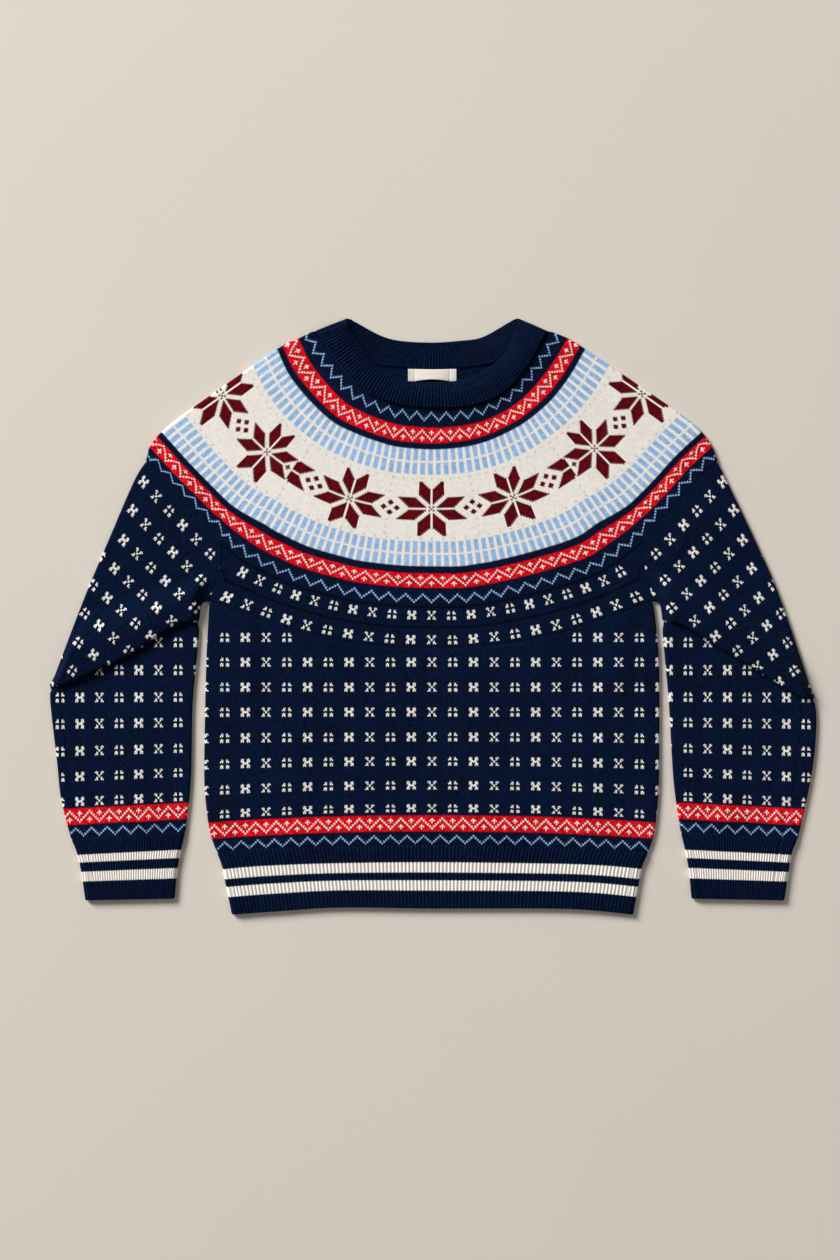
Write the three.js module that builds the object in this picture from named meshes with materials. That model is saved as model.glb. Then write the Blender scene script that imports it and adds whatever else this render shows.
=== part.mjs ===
import * as THREE from "three";

// A stranded-knit jumper with a round yoke, laid flat on its back.
// Millimetres: +X to the viewer's right, +Y to the neck, +Z up from the table.

// Each cloth: how thick it is, and the air between its front and back layers where they lie flat
const KNIT = { thick: 2.3, air: 1.2 };
const RIBBING = { thick: 3.0, air: 1.0 };
const NECK_RIBBING = { thick: 3.8, air: 1.6 };
const LABEL_TAPE = 1.2;

// Room between two pieces at their seam
const SEAM_GAP = 0.3;
// How far each edge stops short of its seam line, with a little room for the chords between columns
const SEAM_TRIM = 0.2;
const TUBE_TRIM = 0.35;

// Ribs, one knit and one purl wale each
const RIB_HEIGHT = 0.7;
const HEM_RIBS = 100;
const CUFF_RIBS = 22;
const NECK_RIBS = 48;

// How the neckband's edge thins towards its fold, and how much the front stands up at the neck
const NECK_EDGE_SHARE = 0.6;
const NECK_STANDS = 1.8;
const NECK_STANDS_OVER = 26;

// The fold at each elbow: radius of its turns, hidden depth, and the stretch over which it opens out
const TUCK_RADIUS = 1.35;
const TUCK_EASE = 2;
const TUCK_DEPTH = 26;
const TUCK_LEAST = 1.5;
const TUCK_OPENS = 16;
const TUCK_DEEPENS = 30;
const TUCK_SETTLES = 62;
const TUCK_STEPS = 3;
const TUCK_CLEAR = 14;
const SEAM_STAYS = 34;
// The upper arm's cloth puffs up a little more over the hidden layers
const TUCK_PUFF = 1.6;
const PUFF_AHEAD = 24;

// Straight chords that each shared seam is built from, and a sleeve's closer columns beside its folds
const YOKE_SEAM_CHORDS = 4;
const ARMHOLE_CHORDS = 3;
const BODY_CHORDS = 22;
const NEAR_FOLD = [0, 0.02, 0.05, 0.085, 0.12];

// A layer flattens this far from its fold before waves start in it
const WAVES_START = 22;

// Columns nearer to a fold than this many of its reaches move up to make room for its turns
const MAKES_ROOM = 4;

// Both fold edges of a piece, from its top down: y, then x on the left and on the right
const SHOULDERS = [
  { y: 319, left: -131, right: 127 },
  { y: 309, left: -151, right: 152 },
  { y: 297, left: -175, right: 171 },
  { y: 231, left: -270, right: 268 },
  { y: 208, left: -300, right: 297 },
  { y: 191, left: -315, right: 310 },
  { y: 174, left: -320, right: 317 },
];
const BODY_SIDES = [
  { y: 16, left: -250, right: 246 },
  { y: -16, left: -252, right: 250 },
  { y: -60, left: -254, right: 253 },
  { y: -161, left: -256, right: 253 },
  { y: -200, left: -255, right: 252 },
  { y: -240, left: -250, right: 248 },
  { y: -264, left: -242, right: 241 },
];
const HEM_SIDES = [
  { y: -264, left: -242, right: 241 },
  { y: -280, left: -236, right: 234 },
  { y: -300, left: -232, right: 230 },
  { y: -334, left: -225, right: 224 },
];

// Seams and edges of the body, from left to right, as [x, y]
const NECK_SEAM_FRONT = [
  [-131, 319], [-118, 299], [-103, 278], [-84, 258], [-65, 246], [-38, 237], [0, 233],
  [37, 235], [65, 243], [87, 258], [105, 280], [118, 302], [127, 319],
];
const NECK_SEAM_BACK = [[-131, 319], [-80, 287], [-43, 279], [-2, 277], [39, 279], [75, 287], [127, 319]];
const NECK_EDGE_FRONT = [
  [-96, 334], [-92, 319], [-78, 297], [-65, 281], [-48, 269], [-30, 263], [0, 261],
  [27, 263], [48, 270], [65, 280], [80, 293], [88, 309], [95, 334],
];
const NECK_EDGE_BACK = [[-96, 334], [-59, 314], [-37, 308], [-2, 306], [30, 308], [55, 312], [95, 334]];
const BODY_SEAM = [
  [-250, 16], [-232, 10], [-198, -2], [-155, -17], [-115, -26], [-59, -34], [-2, -36],
  [56, -34], [109, -27], [151, -17], [195, -2], [228, 10], [246, 16],
];
const HEM_SEAM = [[-242, -264], [-194, -260], [-115, -258], [-2, -256], [120, -258], [193, -260], [241, -264]];
const HEM_EDGE = [[-225, -334], [-171, -330], [-104, -326], [-2, -327], [120, -327], [176, -329], [224, -334]];

// Each sleeve's seams, folds and ends, as [distance from the middle of the body, y]
const SLEEVES = {
  left: {
    yokeSeam: [[320, 174], [302, 157], [281, 133], [258, 109], [236, 87]],
    armhole: [[236, 87], [237, 55], [243, 39], [250, 16]],
    outerUpper: [[320, 174], [334, 152], [363, 85], [391, 18], [428, -80]],
    outerLower: [[428, -80], [428, -100], [421, -161], [416, -206], [405, -249]],
    innerUpper: [[250, 16], [257, 15], [261, 7], [262, -5]],
    innerLower: [[262, -5], [262, -20], [265, -55], [269, -100], [271, -184], [277, -241]],
    elbow: [[428, -80], [402, -71], [363, -54], [334, -38], [297, -14], [280, -6], [262, -5]],
    cuffSeam: [[405, -249], [277, -241]],
    cuffOuter: [[405, -249], [399, -263], [394, -284], [389, -318]],
    cuffInner: [[277, -241], [282, -262], [286, -284], [289, -316]],
    cuffEdge: [[389, -318], [339, -317], [289, -316]],
  },
  right: {
    yokeSeam: [[317, 174], [299, 157], [278, 133], [255, 109], [234, 87]],
    armhole: [[234, 87], [235, 55], [241, 39], [246, 16]],
    outerUpper: [[317, 174], [328, 152], [360, 85], [389, 18], [426, -92]],
    outerLower: [[426, -92], [429, -116], [426, -161], [418, -206], [408, -249]],
    innerUpper: [[246, 16], [252, 15], [256, 7], [257, -5]],
    innerLower: [[257, -5], [257, -20], [260, -55], [264, -100], [269, -184], [277, -241]],
    elbow: [[426, -92], [403, -85], [372, -66], [327, -38], [290, -15], [275, -7], [257, -5]],
    cuffSeam: [[408, -249], [277, -241]],
    cuffOuter: [[408, -249], [402, -263], [398, -284], [393, -318]],
    cuffInner: [[277, -241], [282, -262], [286, -284], [289, -316]],
    cuffEdge: [[393, -318], [341, -317], [289, -316]],
  },
};
// At its inner end the elbow's fold swings round into the sleeve's inner fold
const INNER_SWING = new THREE.Vector2(0.3, -0.95);

// Soft waves in the front layer: a ridge from one point to another
const WAVES = [
  { x1: -322, y1: 128, x2: -275, y2: 76, width: 12, height: 1.2 },
  { x1: -352, y1: 88, x2: -290, y2: 46, width: 12, height: 1.5 },
  { x1: 322, y1: 124, x2: 276, y2: 78, width: 12, height: 1.2 },
  { x1: 350, y1: 84, x2: 290, y2: 46, width: 12, height: 1.5 },
  { x1: -215, y1: 20, x2: -205, y2: -90, width: 13, height: 1.5 },
  { x1: 212, y1: 20, x2: 203, y2: -80, width: 13, height: 1.4 },
  { x1: -150, y1: -90, x2: -165, y2: -250, width: 22, height: 1.3 },
  { x1: 40, y1: -60, x2: 62, y2: -240, width: 26, height: 1.2 },
  { x1: 160, y1: -110, x2: 172, y2: -250, width: 20, height: 1.3 },
  { x1: -330, y1: -110, x2: -325, y2: -230, width: 15, height: 1.4 },
  { x1: 335, y1: -115, x2: 332, y2: -230, width: 15, height: 1.4 },
];

// Label inside the back neck
const LABEL = { left: -28, right: 26, top: 276, bottom: 263 };

const NAVY = 0x09162e;
const CREAM = 0xebe2db;
const LABEL_CREAM = 0xf0e7db;

const radians = THREE.MathUtils.degToRad;
const smooth = THREE.MathUtils.smoothstep;

// A curve through points, as a function from 0 to 1 along its run.
function curve(points) {
  const spline = new THREE.SplineCurve(points.map(([x, y]) => new THREE.Vector2(x, y)));
  return Object.assign((t) => spline.getPointAt(THREE.MathUtils.clamp(t, 0, 1)), { run: spline.getLength() });
}

const sideCurve = (rows, side) => curve(rows.map((row) => [row[side], row.y]));

// Curves end to end, as one path from 0 to 1 along its length.
function joined(...curves) {
  const run = curves.reduce((sum, part) => sum + part.run, 0);
  const path = (t) => {
    let left = t * run;
    for (const part of curves) {
      if (left <= part.run || part === curves.at(-1)) return part(left / part.run);
      left -= part.run;
    }
  };
  return Object.assign(path, { run });
}

// A path made of straight chords, so that pieces whose columns lie on its corners meet exactly.
function chords(path, count) {
  const corners = even(count).map(path);
  const chord = (t) => {
    const i = Math.min(Math.floor(t * count + 1e-9), count - 1);
    return corners[i].clone().lerp(corners[i + 1], t * count - i);
  };
  return Object.assign(chord, { run: path.run });
}

const reversed = (path) => Object.assign((t) => path(1 - t), { run: path.run });

// A path moved to the left of its way by a distance.
function moved(path, distance) {
  const step = 1e-4;
  const way = (t) => path(Math.min(t + step, 1)).sub(path(Math.max(t - step, 0))).normalize();
  const shifted = (t) => {
    const { x, y } = way(t);
    return path(t).add(new THREE.Vector2(-y, x).multiplyScalar(distance));
  };
  return Object.assign(shifted, { run: path.run });
}

// A patch between four edges: u runs along top and bottom, v from top to bottom.
// The top and bottom hold; each side keeps its bow between their ends.
function patch(top, bottom, left, right) {
  const bow = (side, v) => side(v).addScaledVector(side(0), v - 1).addScaledVector(side(1), -v);
  return (u, v) =>
    top(u).multiplyScalar(1 - v)
      .addScaledVector(bottom(u), v)
      .addScaledVector(bow(left, v), 1 - u)
      .addScaledVector(bow(right, v), u);
}

// Even fractions from 0 to 1.
const even = (count) => Array.from({ length: count + 1 }, (_, i) => i / count);

// Fractions that step evenly between corner fractions, so that a column lies on each corner.
function stepped(corners, counts) {
  const steps = [corners[0]];
  counts.forEach((count, i) => {
    for (const f of even(count).slice(1)) steps.push(THREE.MathUtils.lerp(corners[i], corners[i + 1], f));
  });
  return steps;
}

// Half the distance between the middles of a cloth's two layers: the radius that its folds turn on.
const foldRadius = (cloth) => (cloth.thick + cloth.air) / 2;

// The columns of a row: turns round the left fold, fractions across, turns round the right fold.
// Each gives its place along the row, how high it stands on the fold's radius, and its way to the fold.
function columns(path, cloth, across, turns) {
  const radius = foldRadius(cloth);
  const small = 1e-3;
  const leftPace = path(small).distanceTo(path(0)) / small;
  const rightPace = path(1).distanceTo(path(1 - small)) / small;
  const reach = (turn) => cloth.thick / 2 + radius * (1 - Math.cos(turn));
  const first = reach(Math.PI / 2) / leftPace;
  const last = reach(Math.PI / 2) / rightPace;
  const room = (reached, f) => Math.max(0, reached - f / MAKES_ROOM);
  const clear = (f) => f + room(first, f) - room(last, 1 - f);
  const column = (u, rise) => ({ u, rise, fromFold: Math.min(u * leftPace, (1 - u) * rightPace) });
  return [
    ...turns.map((turn) => column(reach(turn) / leftPace, Math.sin(turn))),
    ...across.map((f) => column(clear(f), 1)),
    ...turns.toReversed().map((turn) => column(1 - reach(turn) / rightPace, Math.sin(turn))),
  ];
}

const TURN = radians(45);
const TUBE_TURNS = [0, TURN];
// Turns round a fold up to where two panels meet at their seam. The first one, past the seam,
// isn't built: it gives the wall its direction there.
function seamTurns(cloth) {
  const seam = Math.asin(SEAM_GAP / 2 / foldRadius(cloth));
  return [2 * seam - TURN, seam, TURN];
}

function distanceToSegment(x, y, { x1, y1, x2, y2 }) {
  const along = ((x - x1) * (x2 - x1) + (y - y1) * (y2 - y1)) / ((x2 - x1) ** 2 + (y2 - y1) ** 2);
  const t = THREE.MathUtils.clamp(along, 0, 1);
  return Math.hypot(x - x1 - t * (x2 - x1), y - y1 - t * (y2 - y1));
}

const waves = WAVES.map((wave) => (x, y) => {
  return wave.height * Math.exp(-((distanceToSegment(x, y, wave) / wave.width) ** 2));
});
const neckSeam = curve(NECK_SEAM_FRONT);
const neckPoints = even(40).map(neckSeam);

// How far the front layer stands above its flat height at a place.
function lift(x, y) {
  const fromNeck = Math.min(...neckPoints.map((p) => Math.hypot(x - p.x, y - p.y)));
  const neck = NECK_STANDS * (1 - smooth(fromNeck, 0, NECK_STANDS_OVER));
  return neck + waves.reduce((sum, wave) => sum + wave(x, y), 0);
}

function frontPoint(place, column, cloth) {
  const radius = foldRadius(cloth);
  const flat = cloth.thick / 2 + radius + radius * column.rise;
  return new THREE.Vector3(place.x, place.y, flat + lift(place.x, place.y) * smooth(column.fromFold, 0, WAVES_START));
}

function backPoint(place, column, cloth) {
  const radius = foldRadius(cloth);
  return new THREE.Vector3(place.x, place.y, cloth.thick / 2 + radius - radius * column.rise);
}

const plain = () => ({ outer: 0, inner: 0 });

// A closed wall about rows of points in its middle. Rows run left to right over the top, down the piece.
// Half the thickness lies on each side; raised adds to the outer or inner side of a column.
// Unless it is a ring, the first and last point of each row only direct their neighbours.
function wall(rows, halfThickness, { ring = false, raised = plain } = {}) {
  const rowCount = rows.length;
  const columnCount = rows[0].length - (ring ? 0 : 2);
  const at = (j, i) => rows[j][ring ? (i + columnCount) % columnCount : i + 1];
  const positions = [];
  const inside = [];
  for (let j = 0; j < rowCount; j++) {
    for (let i = 0; i < columnCount; i++) {
      const across = at(j, i + 1).clone().sub(at(j, i - 1));
      const down = at(Math.min(j + 1, rowCount - 1), i).clone().sub(at(Math.max(j - 1, 0), i));
      const normal = down.cross(across).normalize();
      const half = halfThickness(j / (rowCount - 1));
      const { outer, inner } = raised(i, columnCount);
      positions.push(...at(j, i).clone().addScaledVector(normal, half + outer));
      inside.push(...at(j, i).clone().addScaledVector(normal, -half - inner));
    }
  }
  const inner = positions.length / 3;
  const index = [];
  const number = (j, i) => j * columnCount + (i % columnCount);
  const lastColumn = ring ? columnCount : columnCount - 1;
  const rim = (p, q) => index.push(q, p, p + inner, q, p + inner, q + inner);
  for (let j = 0; j < rowCount - 1; j++) {
    for (let i = 0; i < lastColumn; i++) {
      const [a, b, c, d] = [number(j, i), number(j, i + 1), number(j + 1, i), number(j + 1, i + 1)];
      index.push(a, c, b, b, c, d);
      index.push(a + inner, b + inner, c + inner, b + inner, d + inner, c + inner);
    }
    if (!ring) {
      rim(number(j, 0), number(j + 1, 0));
      rim(number(j + 1, columnCount - 1), number(j, columnCount - 1));
    }
  }
  for (let i = 0; i < lastColumn; i++) {
    rim(number(0, i + 1), number(0, i));
    rim(number(rowCount - 1, i), number(rowCount - 1, i + 1));
  }
  const geometry = new THREE.BufferGeometry();
  geometry.setAttribute("position", new THREE.Float32BufferAttribute([...positions, ...inside], 3));
  geometry.setIndex(index);
  return geometry;
}

const constant = (value) => () => value;

// The upper layer of a patch, from its left fold to its right one.
function frontPanel(area, downs, across, cloth, options) {
  const rows = downs.map((v) => {
    const path = (u) => area(u, v);
    return columns(path, cloth, across, seamTurns(cloth)).map((column) => frontPoint(path(column.u), column, cloth));
  });
  return wall(rows, constant(cloth.thick / 2), options);
}

// The lower layer of a patch: its outer side faces the table, so its rows run right to left.
function backPanel(area, downs, across, cloth) {
  const rows = downs.map((v) => {
    const path = (u) => area(u, v);
    return columns(path, cloth, across, seamTurns(cloth))
      .map((column) => backPoint(path(column.u), column, cloth))
      .reverse();
  });
  return wall(rows, constant(cloth.thick / 2));
}

// One row of a tube: over the top from fold to fold, and back underneath.
function tubeRow(front, back, cloth, acrossFront, acrossBack) {
  const over = columns(back, cloth, acrossFront, TUBE_TURNS).map(front);
  const under = columns(back, cloth, acrossBack, TUBE_TURNS)
    .slice(1, -1)
    .map((column) => backPoint(back(column.u), column, cloth))
    .reverse();
  return [...over, ...under];
}

// Every other column of a ribbed stretch stands out.
function ribs(first, count, side) {
  return (i) => {
    const high = i >= first && i <= first + 2 * count && (i - first) % 2 === 1 ? RIB_HEIGHT : 0;
    return { outer: side === "outer" ? high : 0, inner: side === "inner" ? high : 0 };
  };
}

const toLeft = (points) => points.map(([x, y]) => [-x, y]);
const yokeSeam = (points) => chords(curve(points), YOKE_SEAM_CHORDS);
const armhole = (points) => chords(curve(points), ARMHOLE_CHORDS);
const bodySeam = chords(curve(BODY_SEAM), BODY_CHORDS);
const hemSeam = chords(curve(HEM_SEAM), BODY_CHORDS);
const yokeOuterParts = [
  yokeSeam(toLeft(SLEEVES.left.yokeSeam)),
  armhole(toLeft(SLEEVES.left.armhole)),
  bodySeam,
  reversed(armhole(SLEEVES.right.armhole)),
  reversed(yokeSeam(SLEEVES.right.yokeSeam)),
];
const yokeOuter = joined(...yokeOuterParts);

// The yoke's columns, with one on each corner of the seams that body and sleeves share with it.
const yokeCorners = [0];
for (const part of yokeOuterParts) yokeCorners.push(yokeCorners.at(-1) + part.run / yokeOuter.run);
const yokeColumns = stepped(yokeCorners, [
  YOKE_SEAM_CHORDS, ARMHOLE_CHORDS, BODY_CHORDS, ARMHOLE_CHORDS, YOKE_SEAM_CHORDS,
]);

function yokePatch(neck) {
  return patch(
    moved(neck, -SEAM_TRIM),
    moved(yokeOuter, SEAM_TRIM),
    sideCurve(SHOULDERS, "left"),
    sideCurve(SHOULDERS, "right"),
  );
}

const yokeFront = () => frontPanel(yokePatch(neckSeam), even(8), yokeColumns, KNIT);
const yokeBack = () => backPanel(yokePatch(curve(NECK_SEAM_BACK)), even(4), yokeColumns, KNIT);

const bodyPatch = patch(
  moved(bodySeam, -SEAM_TRIM),
  moved(hemSeam, SEAM_TRIM),
  sideCurve(BODY_SIDES, "left"),
  sideCurve(BODY_SIDES, "right"),
);
const hemPatch = patch(
  moved(hemSeam, -SEAM_TRIM),
  curve(HEM_EDGE),
  sideCurve(HEM_SIDES, "left"),
  sideCurve(HEM_SIDES, "right"),
);

const bodyFront = () => frontPanel(bodyPatch, even(8), even(BODY_CHORDS), KNIT);
const bodyBack = () => backPanel(bodyPatch, even(3), even(BODY_CHORDS), KNIT);
const turnsBefore = seamTurns(RIBBING).length - 1;
const hemFront = () =>
  frontPanel(hemPatch, [0, 1], even(2 * HEM_RIBS), RIBBING, { raised: ribs(turnsBefore, HEM_RIBS, "outer") });
const hemBack = () => backPanel(hemPatch, [0, 1], even(BODY_CHORDS), RIBBING);

// The elbow's fold from the side, at a distance from the nearer end of the fold line.
// The cloth turns under, runs back and turns again; near the ends the turns open until it lies flat.
function tuck(fromEnd) {
  const turn = Math.max(0.02, Math.PI * smooth(fromEnd, 0, TUCK_OPENS));
  const deepens = smooth(fromEnd, TUCK_OPENS, TUCK_OPENS + TUCK_DEEPENS);
  const back = THREE.MathUtils.lerp(TUCK_LEAST, TUCK_DEPTH, deepens);
  const radius = TUCK_RADIUS + TUCK_EASE / turn;
  const rise = 2 * radius * (1 - Math.cos(turn)) + back * Math.sin(turn);
  const start = -radius * (turn < Math.PI / 2 ? Math.sin(turn) : 1);
  const middle = {
    along: start + radius * Math.sin(turn) + back * Math.cos(turn),
    up: radius * (1 - Math.cos(turn)),
  };
  const under = even(TUCK_STEPS).map((f) => ({
    along: start + radius * Math.sin(f * turn),
    up: rise - radius * (1 - Math.cos(f * turn)),
  }));
  const over = even(TUCK_STEPS).map((f) => ({
    along: middle.along + radius * (Math.sin(turn) - Math.sin(turn - f * turn)),
    up: middle.up - radius * (Math.cos(turn - f * turn) - Math.cos(turn)),
  }));
  return { steps: [...under, ...over], rise, reach: back + 2 * radius };
}

// One sleeve as a tube: rows down the upper arm, through the elbow's fold, and down the forearm.
function sleeveRows(cut) {
  const away = (points) => curve(toLeft(points));
  const topParts = [yokeSeam(toLeft(cut.yokeSeam)), armhole(toLeft(cut.armhole))];
  const top = joined(...topParts);
  const elbow = away(cut.elbow);
  const upper = patch(moved(top, -TUBE_TRIM), elbow, away(cut.outerUpper), away(cut.innerUpper));
  const lower = patch(elbow, moved(away(cut.cuffSeam), SEAM_TRIM), away(cut.outerLower), away(cut.innerLower));
  const corner = topParts[0].run / top.run;
  const acrossBack = stepped([0, corner, 1], [YOKE_SEAM_CHORDS, ARMHOLE_CHORDS]);
  const acrossFront = [
    ...NEAR_FOLD,
    ...stepped(acrossBack.slice(1, -1), acrossBack.slice(2, -1).map(() => 2)),
    ...NEAR_FOLD.slice(0, -1).map((f) => 1 - f).reverse(),
  ];

  const swing = (c) => {
    const way = elbow(Math.min(c + 0.01, 1)).sub(elbow(Math.max(c - 0.01, 0))).normalize();
    const inward = new THREE.Vector2(-INNER_SWING.x, INNER_SWING.y);
    return new THREE.Vector2(way.y, -way.x).lerp(inward, smooth(c, 0.8, 1)).normalize();
  };
  const foldAt = (c, further = 0) => tuck(Math.min(c, 1 - c) * elbow.run + further);
  const fullRise = foldAt(0.5).rise;
  const upperPlace = (c, share) => {
    const run = upper(c, 0).distanceTo(upper(c, 1));
    const v = share * Math.max(1 - TUCK_CLEAR / run, 0.4);
    return { place: upper(c, v), done: v * run, left: (1 - v) * run };
  };

  const rows = [];
  for (const share of [0, 0.25, 0.48, 0.7, 0.86, 1]) {
    const front = (column) => {
      const { place, done, left } = upperPlace(column.u, share);
      const fold = foldAt(column.u);
      const point = frontPoint(place, column, KNIT);
      const { reach } = foldAt(column.u, PUFF_AHEAD);
      const puff = TUCK_PUFF * smooth(left, 0, reach) * (fold.rise / fullRise);
      const settled = smooth(left, reach + TUCK_CLEAR, reach + TUCK_SETTLES);
      point.z += (fold.rise + puff) * (1 - settled) * smooth(done, 0, SEAM_STAYS);
      return point;
    };
    rows.push(tubeRow(front, (u) => upperPlace(u, share).place, KNIT, acrossFront, acrossBack));
  }
  const tuckRows = 2 * (TUCK_STEPS + 1);
  for (let step = 0; step < tuckRows; step++) {
    const front = (column) => {
      const { along, up } = foldAt(column.u).steps[step];
      const point = frontPoint(elbow(column.u).addScaledVector(swing(column.u), along), column, KNIT);
      point.z += up;
      return point;
    };
    const { along } = foldAt(0).steps[step];
    rows.push(
      tubeRow(front, (u) => elbow(u).addScaledVector(swing(u), along), KNIT, acrossFront, acrossBack),
    );
  }
  for (const v of [0.12, 0.32, 0.55, 0.78, 1]) {
    const place = (u) => lower(u, v);
    rows.push(
      tubeRow((column) => frontPoint(place(column.u), column, KNIT), place, KNIT, acrossFront, acrossBack),
    );
  }
  return rows;
}

function cuffRows(cut) {
  const away = (points) => curve(toLeft(points));
  const area = patch(moved(away(cut.cuffSeam), -TUBE_TRIM), away(cut.cuffEdge), away(cut.cuffOuter), away(cut.cuffInner));
  return [0, 0.5, 1].map((v) => {
    const place = (u) => area(u, v);
    const front = (column) => frontPoint(place(column.u), column, RIBBING);
    return tubeRow(front, place, RIBBING, even(2 * CUFF_RIBS), even(8));
  });
}

// A sleeve's rows are laid out for the left; on the right they are mirrored and run the other way.
function mirrored(rows) {
  return rows.map((row) => row.map((p) => new THREE.Vector3(-p.x, p.y, p.z)).reverse());
}

const sleeve = (cut, flip) => wall(flip ? mirrored(sleeveRows(cut)) : sleeveRows(cut), constant(KNIT.thick / 2), { ring: true });

function cuff(cut, flip) {
  const rows = cuffRows(cut);
  const raised = (i, count) => ribs(TUBE_TURNS.length, CUFF_RIBS, "outer")(flip ? count - 1 - i : i);
  return wall(flip ? mirrored(rows) : rows, constant(RIBBING.thick / 2), { ring: true, raised });
}

// The neckband is a ring: its front half lies over its back half, from one shoulder fold to the other.
function neckband() {
  const share = (v) => NECK_EDGE_SHARE + (1 - NECK_EDGE_SHARE) * smooth(v, 0, 0.6);
  const half = (edge, seam) => patch(
    curve(edge),
    moved(curve(seam), TUBE_TRIM),
    curve([edge.at(0), seam.at(0)]),
    curve([edge.at(-1), seam.at(-1)]),
  );
  const front = half(NECK_EDGE_FRONT, NECK_SEAM_FRONT);
  const back = half(NECK_EDGE_BACK, NECK_SEAM_BACK);
  const rows = [0, 0.5, 1].map((v) => {
    const thin = (NECK_RIBBING.thick / 2) * (1 - share(v));
    const over = columns((u) => front(u, v), NECK_RIBBING, even(2 * NECK_RIBS), TUBE_TURNS).map((column) => {
      const point = frontPoint(front(column.u, v), column, NECK_RIBBING);
      point.z -= thin;
      return point;
    });
    const under = columns((u) => back(u, v), NECK_RIBBING, even(2 * NECK_RIBS), TUBE_TURNS)
      .slice(1, -1)
      .map((column) => {
        const point = backPoint(back(column.u, v), column, NECK_RIBBING);
        point.z -= thin;
        return point;
      })
      .reverse();
    return [...over, ...under];
  });
  const frontColumns = rows[0].length / 2 + 1;
  const overRibs = ribs(TUBE_TURNS.length, NECK_RIBS, "outer");
  const underRibs = ribs(frontColumns + TUBE_TURNS.length - 1, NECK_RIBS, "inner");
  const raised = (i) => (i < frontColumns ? overRibs(i) : underRibs(i));
  return wall(rows, (v) => (NECK_RIBBING.thick / 2) * share(v), { ring: true, raised });
}

// The label lies on the back yoke's inner side, just under the neckband.
function neckLabel() {
  const { left, right, top, bottom } = LABEL;
  const height = KNIT.thick + SEAM_GAP + LABEL_TAPE / 2;
  const rows = even(3).map((v) =>
    [-0.2, ...even(6), 1.2].map((u) => new THREE.Vector3(
      THREE.MathUtils.lerp(left, right, u),
      THREE.MathUtils.lerp(top, bottom, v),
      height,
    )),
  );
  return wall(rows, constant(LABEL_TAPE / 2));
}

const jumper = new THREE.Group();
function add(name, geometry, color, roughness) {
  const mesh = new THREE.Mesh(geometry, new THREE.MeshStandardMaterial({ color, roughness, metalness: 0 }));
  mesh.name = name;
  jumper.add(mesh);
}

add("yoke_front", yokeFront(), CREAM, 0.95);
add("yoke_back", yokeBack(), CREAM, 0.95);
add("body_front", bodyFront(), NAVY, 0.95);
add("body_back", bodyBack(), NAVY, 0.95);
add("hem_front", hemFront(), NAVY, 0.95);
add("hem_back", hemBack(), NAVY, 0.95);
for (const [side, cut] of Object.entries(SLEEVES)) {
  add(`sleeve_${side}`, sleeve(cut, side === "right"), NAVY, 0.95);
  add(`cuff_${side}`, cuff(cut, side === "right"), NAVY, 0.95);
}
add("neckband", neckband(), NAVY, 0.95);
add("neck_label", neckLabel(), LABEL_CREAM, 0.6);

export default jumper;
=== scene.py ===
"""A stranded-knit jumper with a round yoke, laid flat: its cloth, the surface under it and the light.

Lengths are millimetres in the part's frame: +X to the viewer's right, +Y to the neck, +Z up from
the surface. Only the finished meshes, the camera and the lights are in metres.
"""

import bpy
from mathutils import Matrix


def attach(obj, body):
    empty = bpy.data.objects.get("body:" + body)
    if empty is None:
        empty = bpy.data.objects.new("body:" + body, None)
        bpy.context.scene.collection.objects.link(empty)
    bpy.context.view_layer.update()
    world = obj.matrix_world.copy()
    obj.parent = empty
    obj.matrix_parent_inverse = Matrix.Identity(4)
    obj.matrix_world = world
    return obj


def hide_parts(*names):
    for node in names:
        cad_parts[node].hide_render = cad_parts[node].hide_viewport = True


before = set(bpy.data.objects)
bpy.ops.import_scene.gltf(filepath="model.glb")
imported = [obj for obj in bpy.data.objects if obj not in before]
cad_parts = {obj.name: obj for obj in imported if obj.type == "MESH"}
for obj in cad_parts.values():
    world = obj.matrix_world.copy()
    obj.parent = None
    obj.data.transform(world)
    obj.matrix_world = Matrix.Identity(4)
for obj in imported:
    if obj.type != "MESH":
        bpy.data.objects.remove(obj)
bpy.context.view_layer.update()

import logging
import math
from dataclasses import dataclass, field
from enum import Enum
from typing import Callable, Sequence

import bpy
import numpy as np

log = logging.getLogger("jumper")

Array = np.ndarray
Material = bpy.types.Material
Piece = bpy.types.Object
Socket = bpy.types.NodeSocket
Points = Sequence[tuple[float, float]]
# From places along a row, from 0 to 1, to points
Place = Callable[[Array], Array]

MM = 0.001
# A count of stitches or rows that lies past every pattern
FAR = 4000
# Row counts on a knit's wrong side, far from any pattern's
WRONG_SIDE = -2000
# Rows from one row of scattered motifs to the next
MOTIF_ROWS = 13
# Row counts on the upper sleeves, far from the borders' at the wrist: a whole number of motif rows
UPPER_ARM = -260
# On the upper sleeves each row of motifs is moved along by this many stitches
HALF_DROP = 5.5


# The cloths


@dataclass(frozen=True)
class Cloth:
    """A knitted cloth: its thickness, and the air between its two layers where they lie flat."""

    thick: float
    air: float

    @property
    def radius(self) -> float:
        """The radius that the middle of the cloth turns on at a fold."""
        return (self.thick + self.air) / 2


KNIT = Cloth(2.3, 1.2)
RIBBING = Cloth(3.0, 1.0)
NECK_RIBBING = Cloth(3.8, 1.6)

# Between the halves of a side seam, and what the edge of a panel or a tube is cut back by at a seam
SEAM_GAP = 0.3
SEAM_TRIM = 0.03
TUBE_TRIM = 0.1
# At a seam the edge is drawn in: the share of its thickness that is left, how far that reaches, the
# rows beside the seam that give it its shape, and where the even rows start
SEAM_THIN = 0.3
SEAM_REACH = 3.2
SEAM_ROWS = (0.7, 1.5, 2.4, 3.4)
SEAM_ROWS_END = 4.4
# The flat columns make room for a fold's over this many times its reach
MAKES_ROOM = 4
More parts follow.
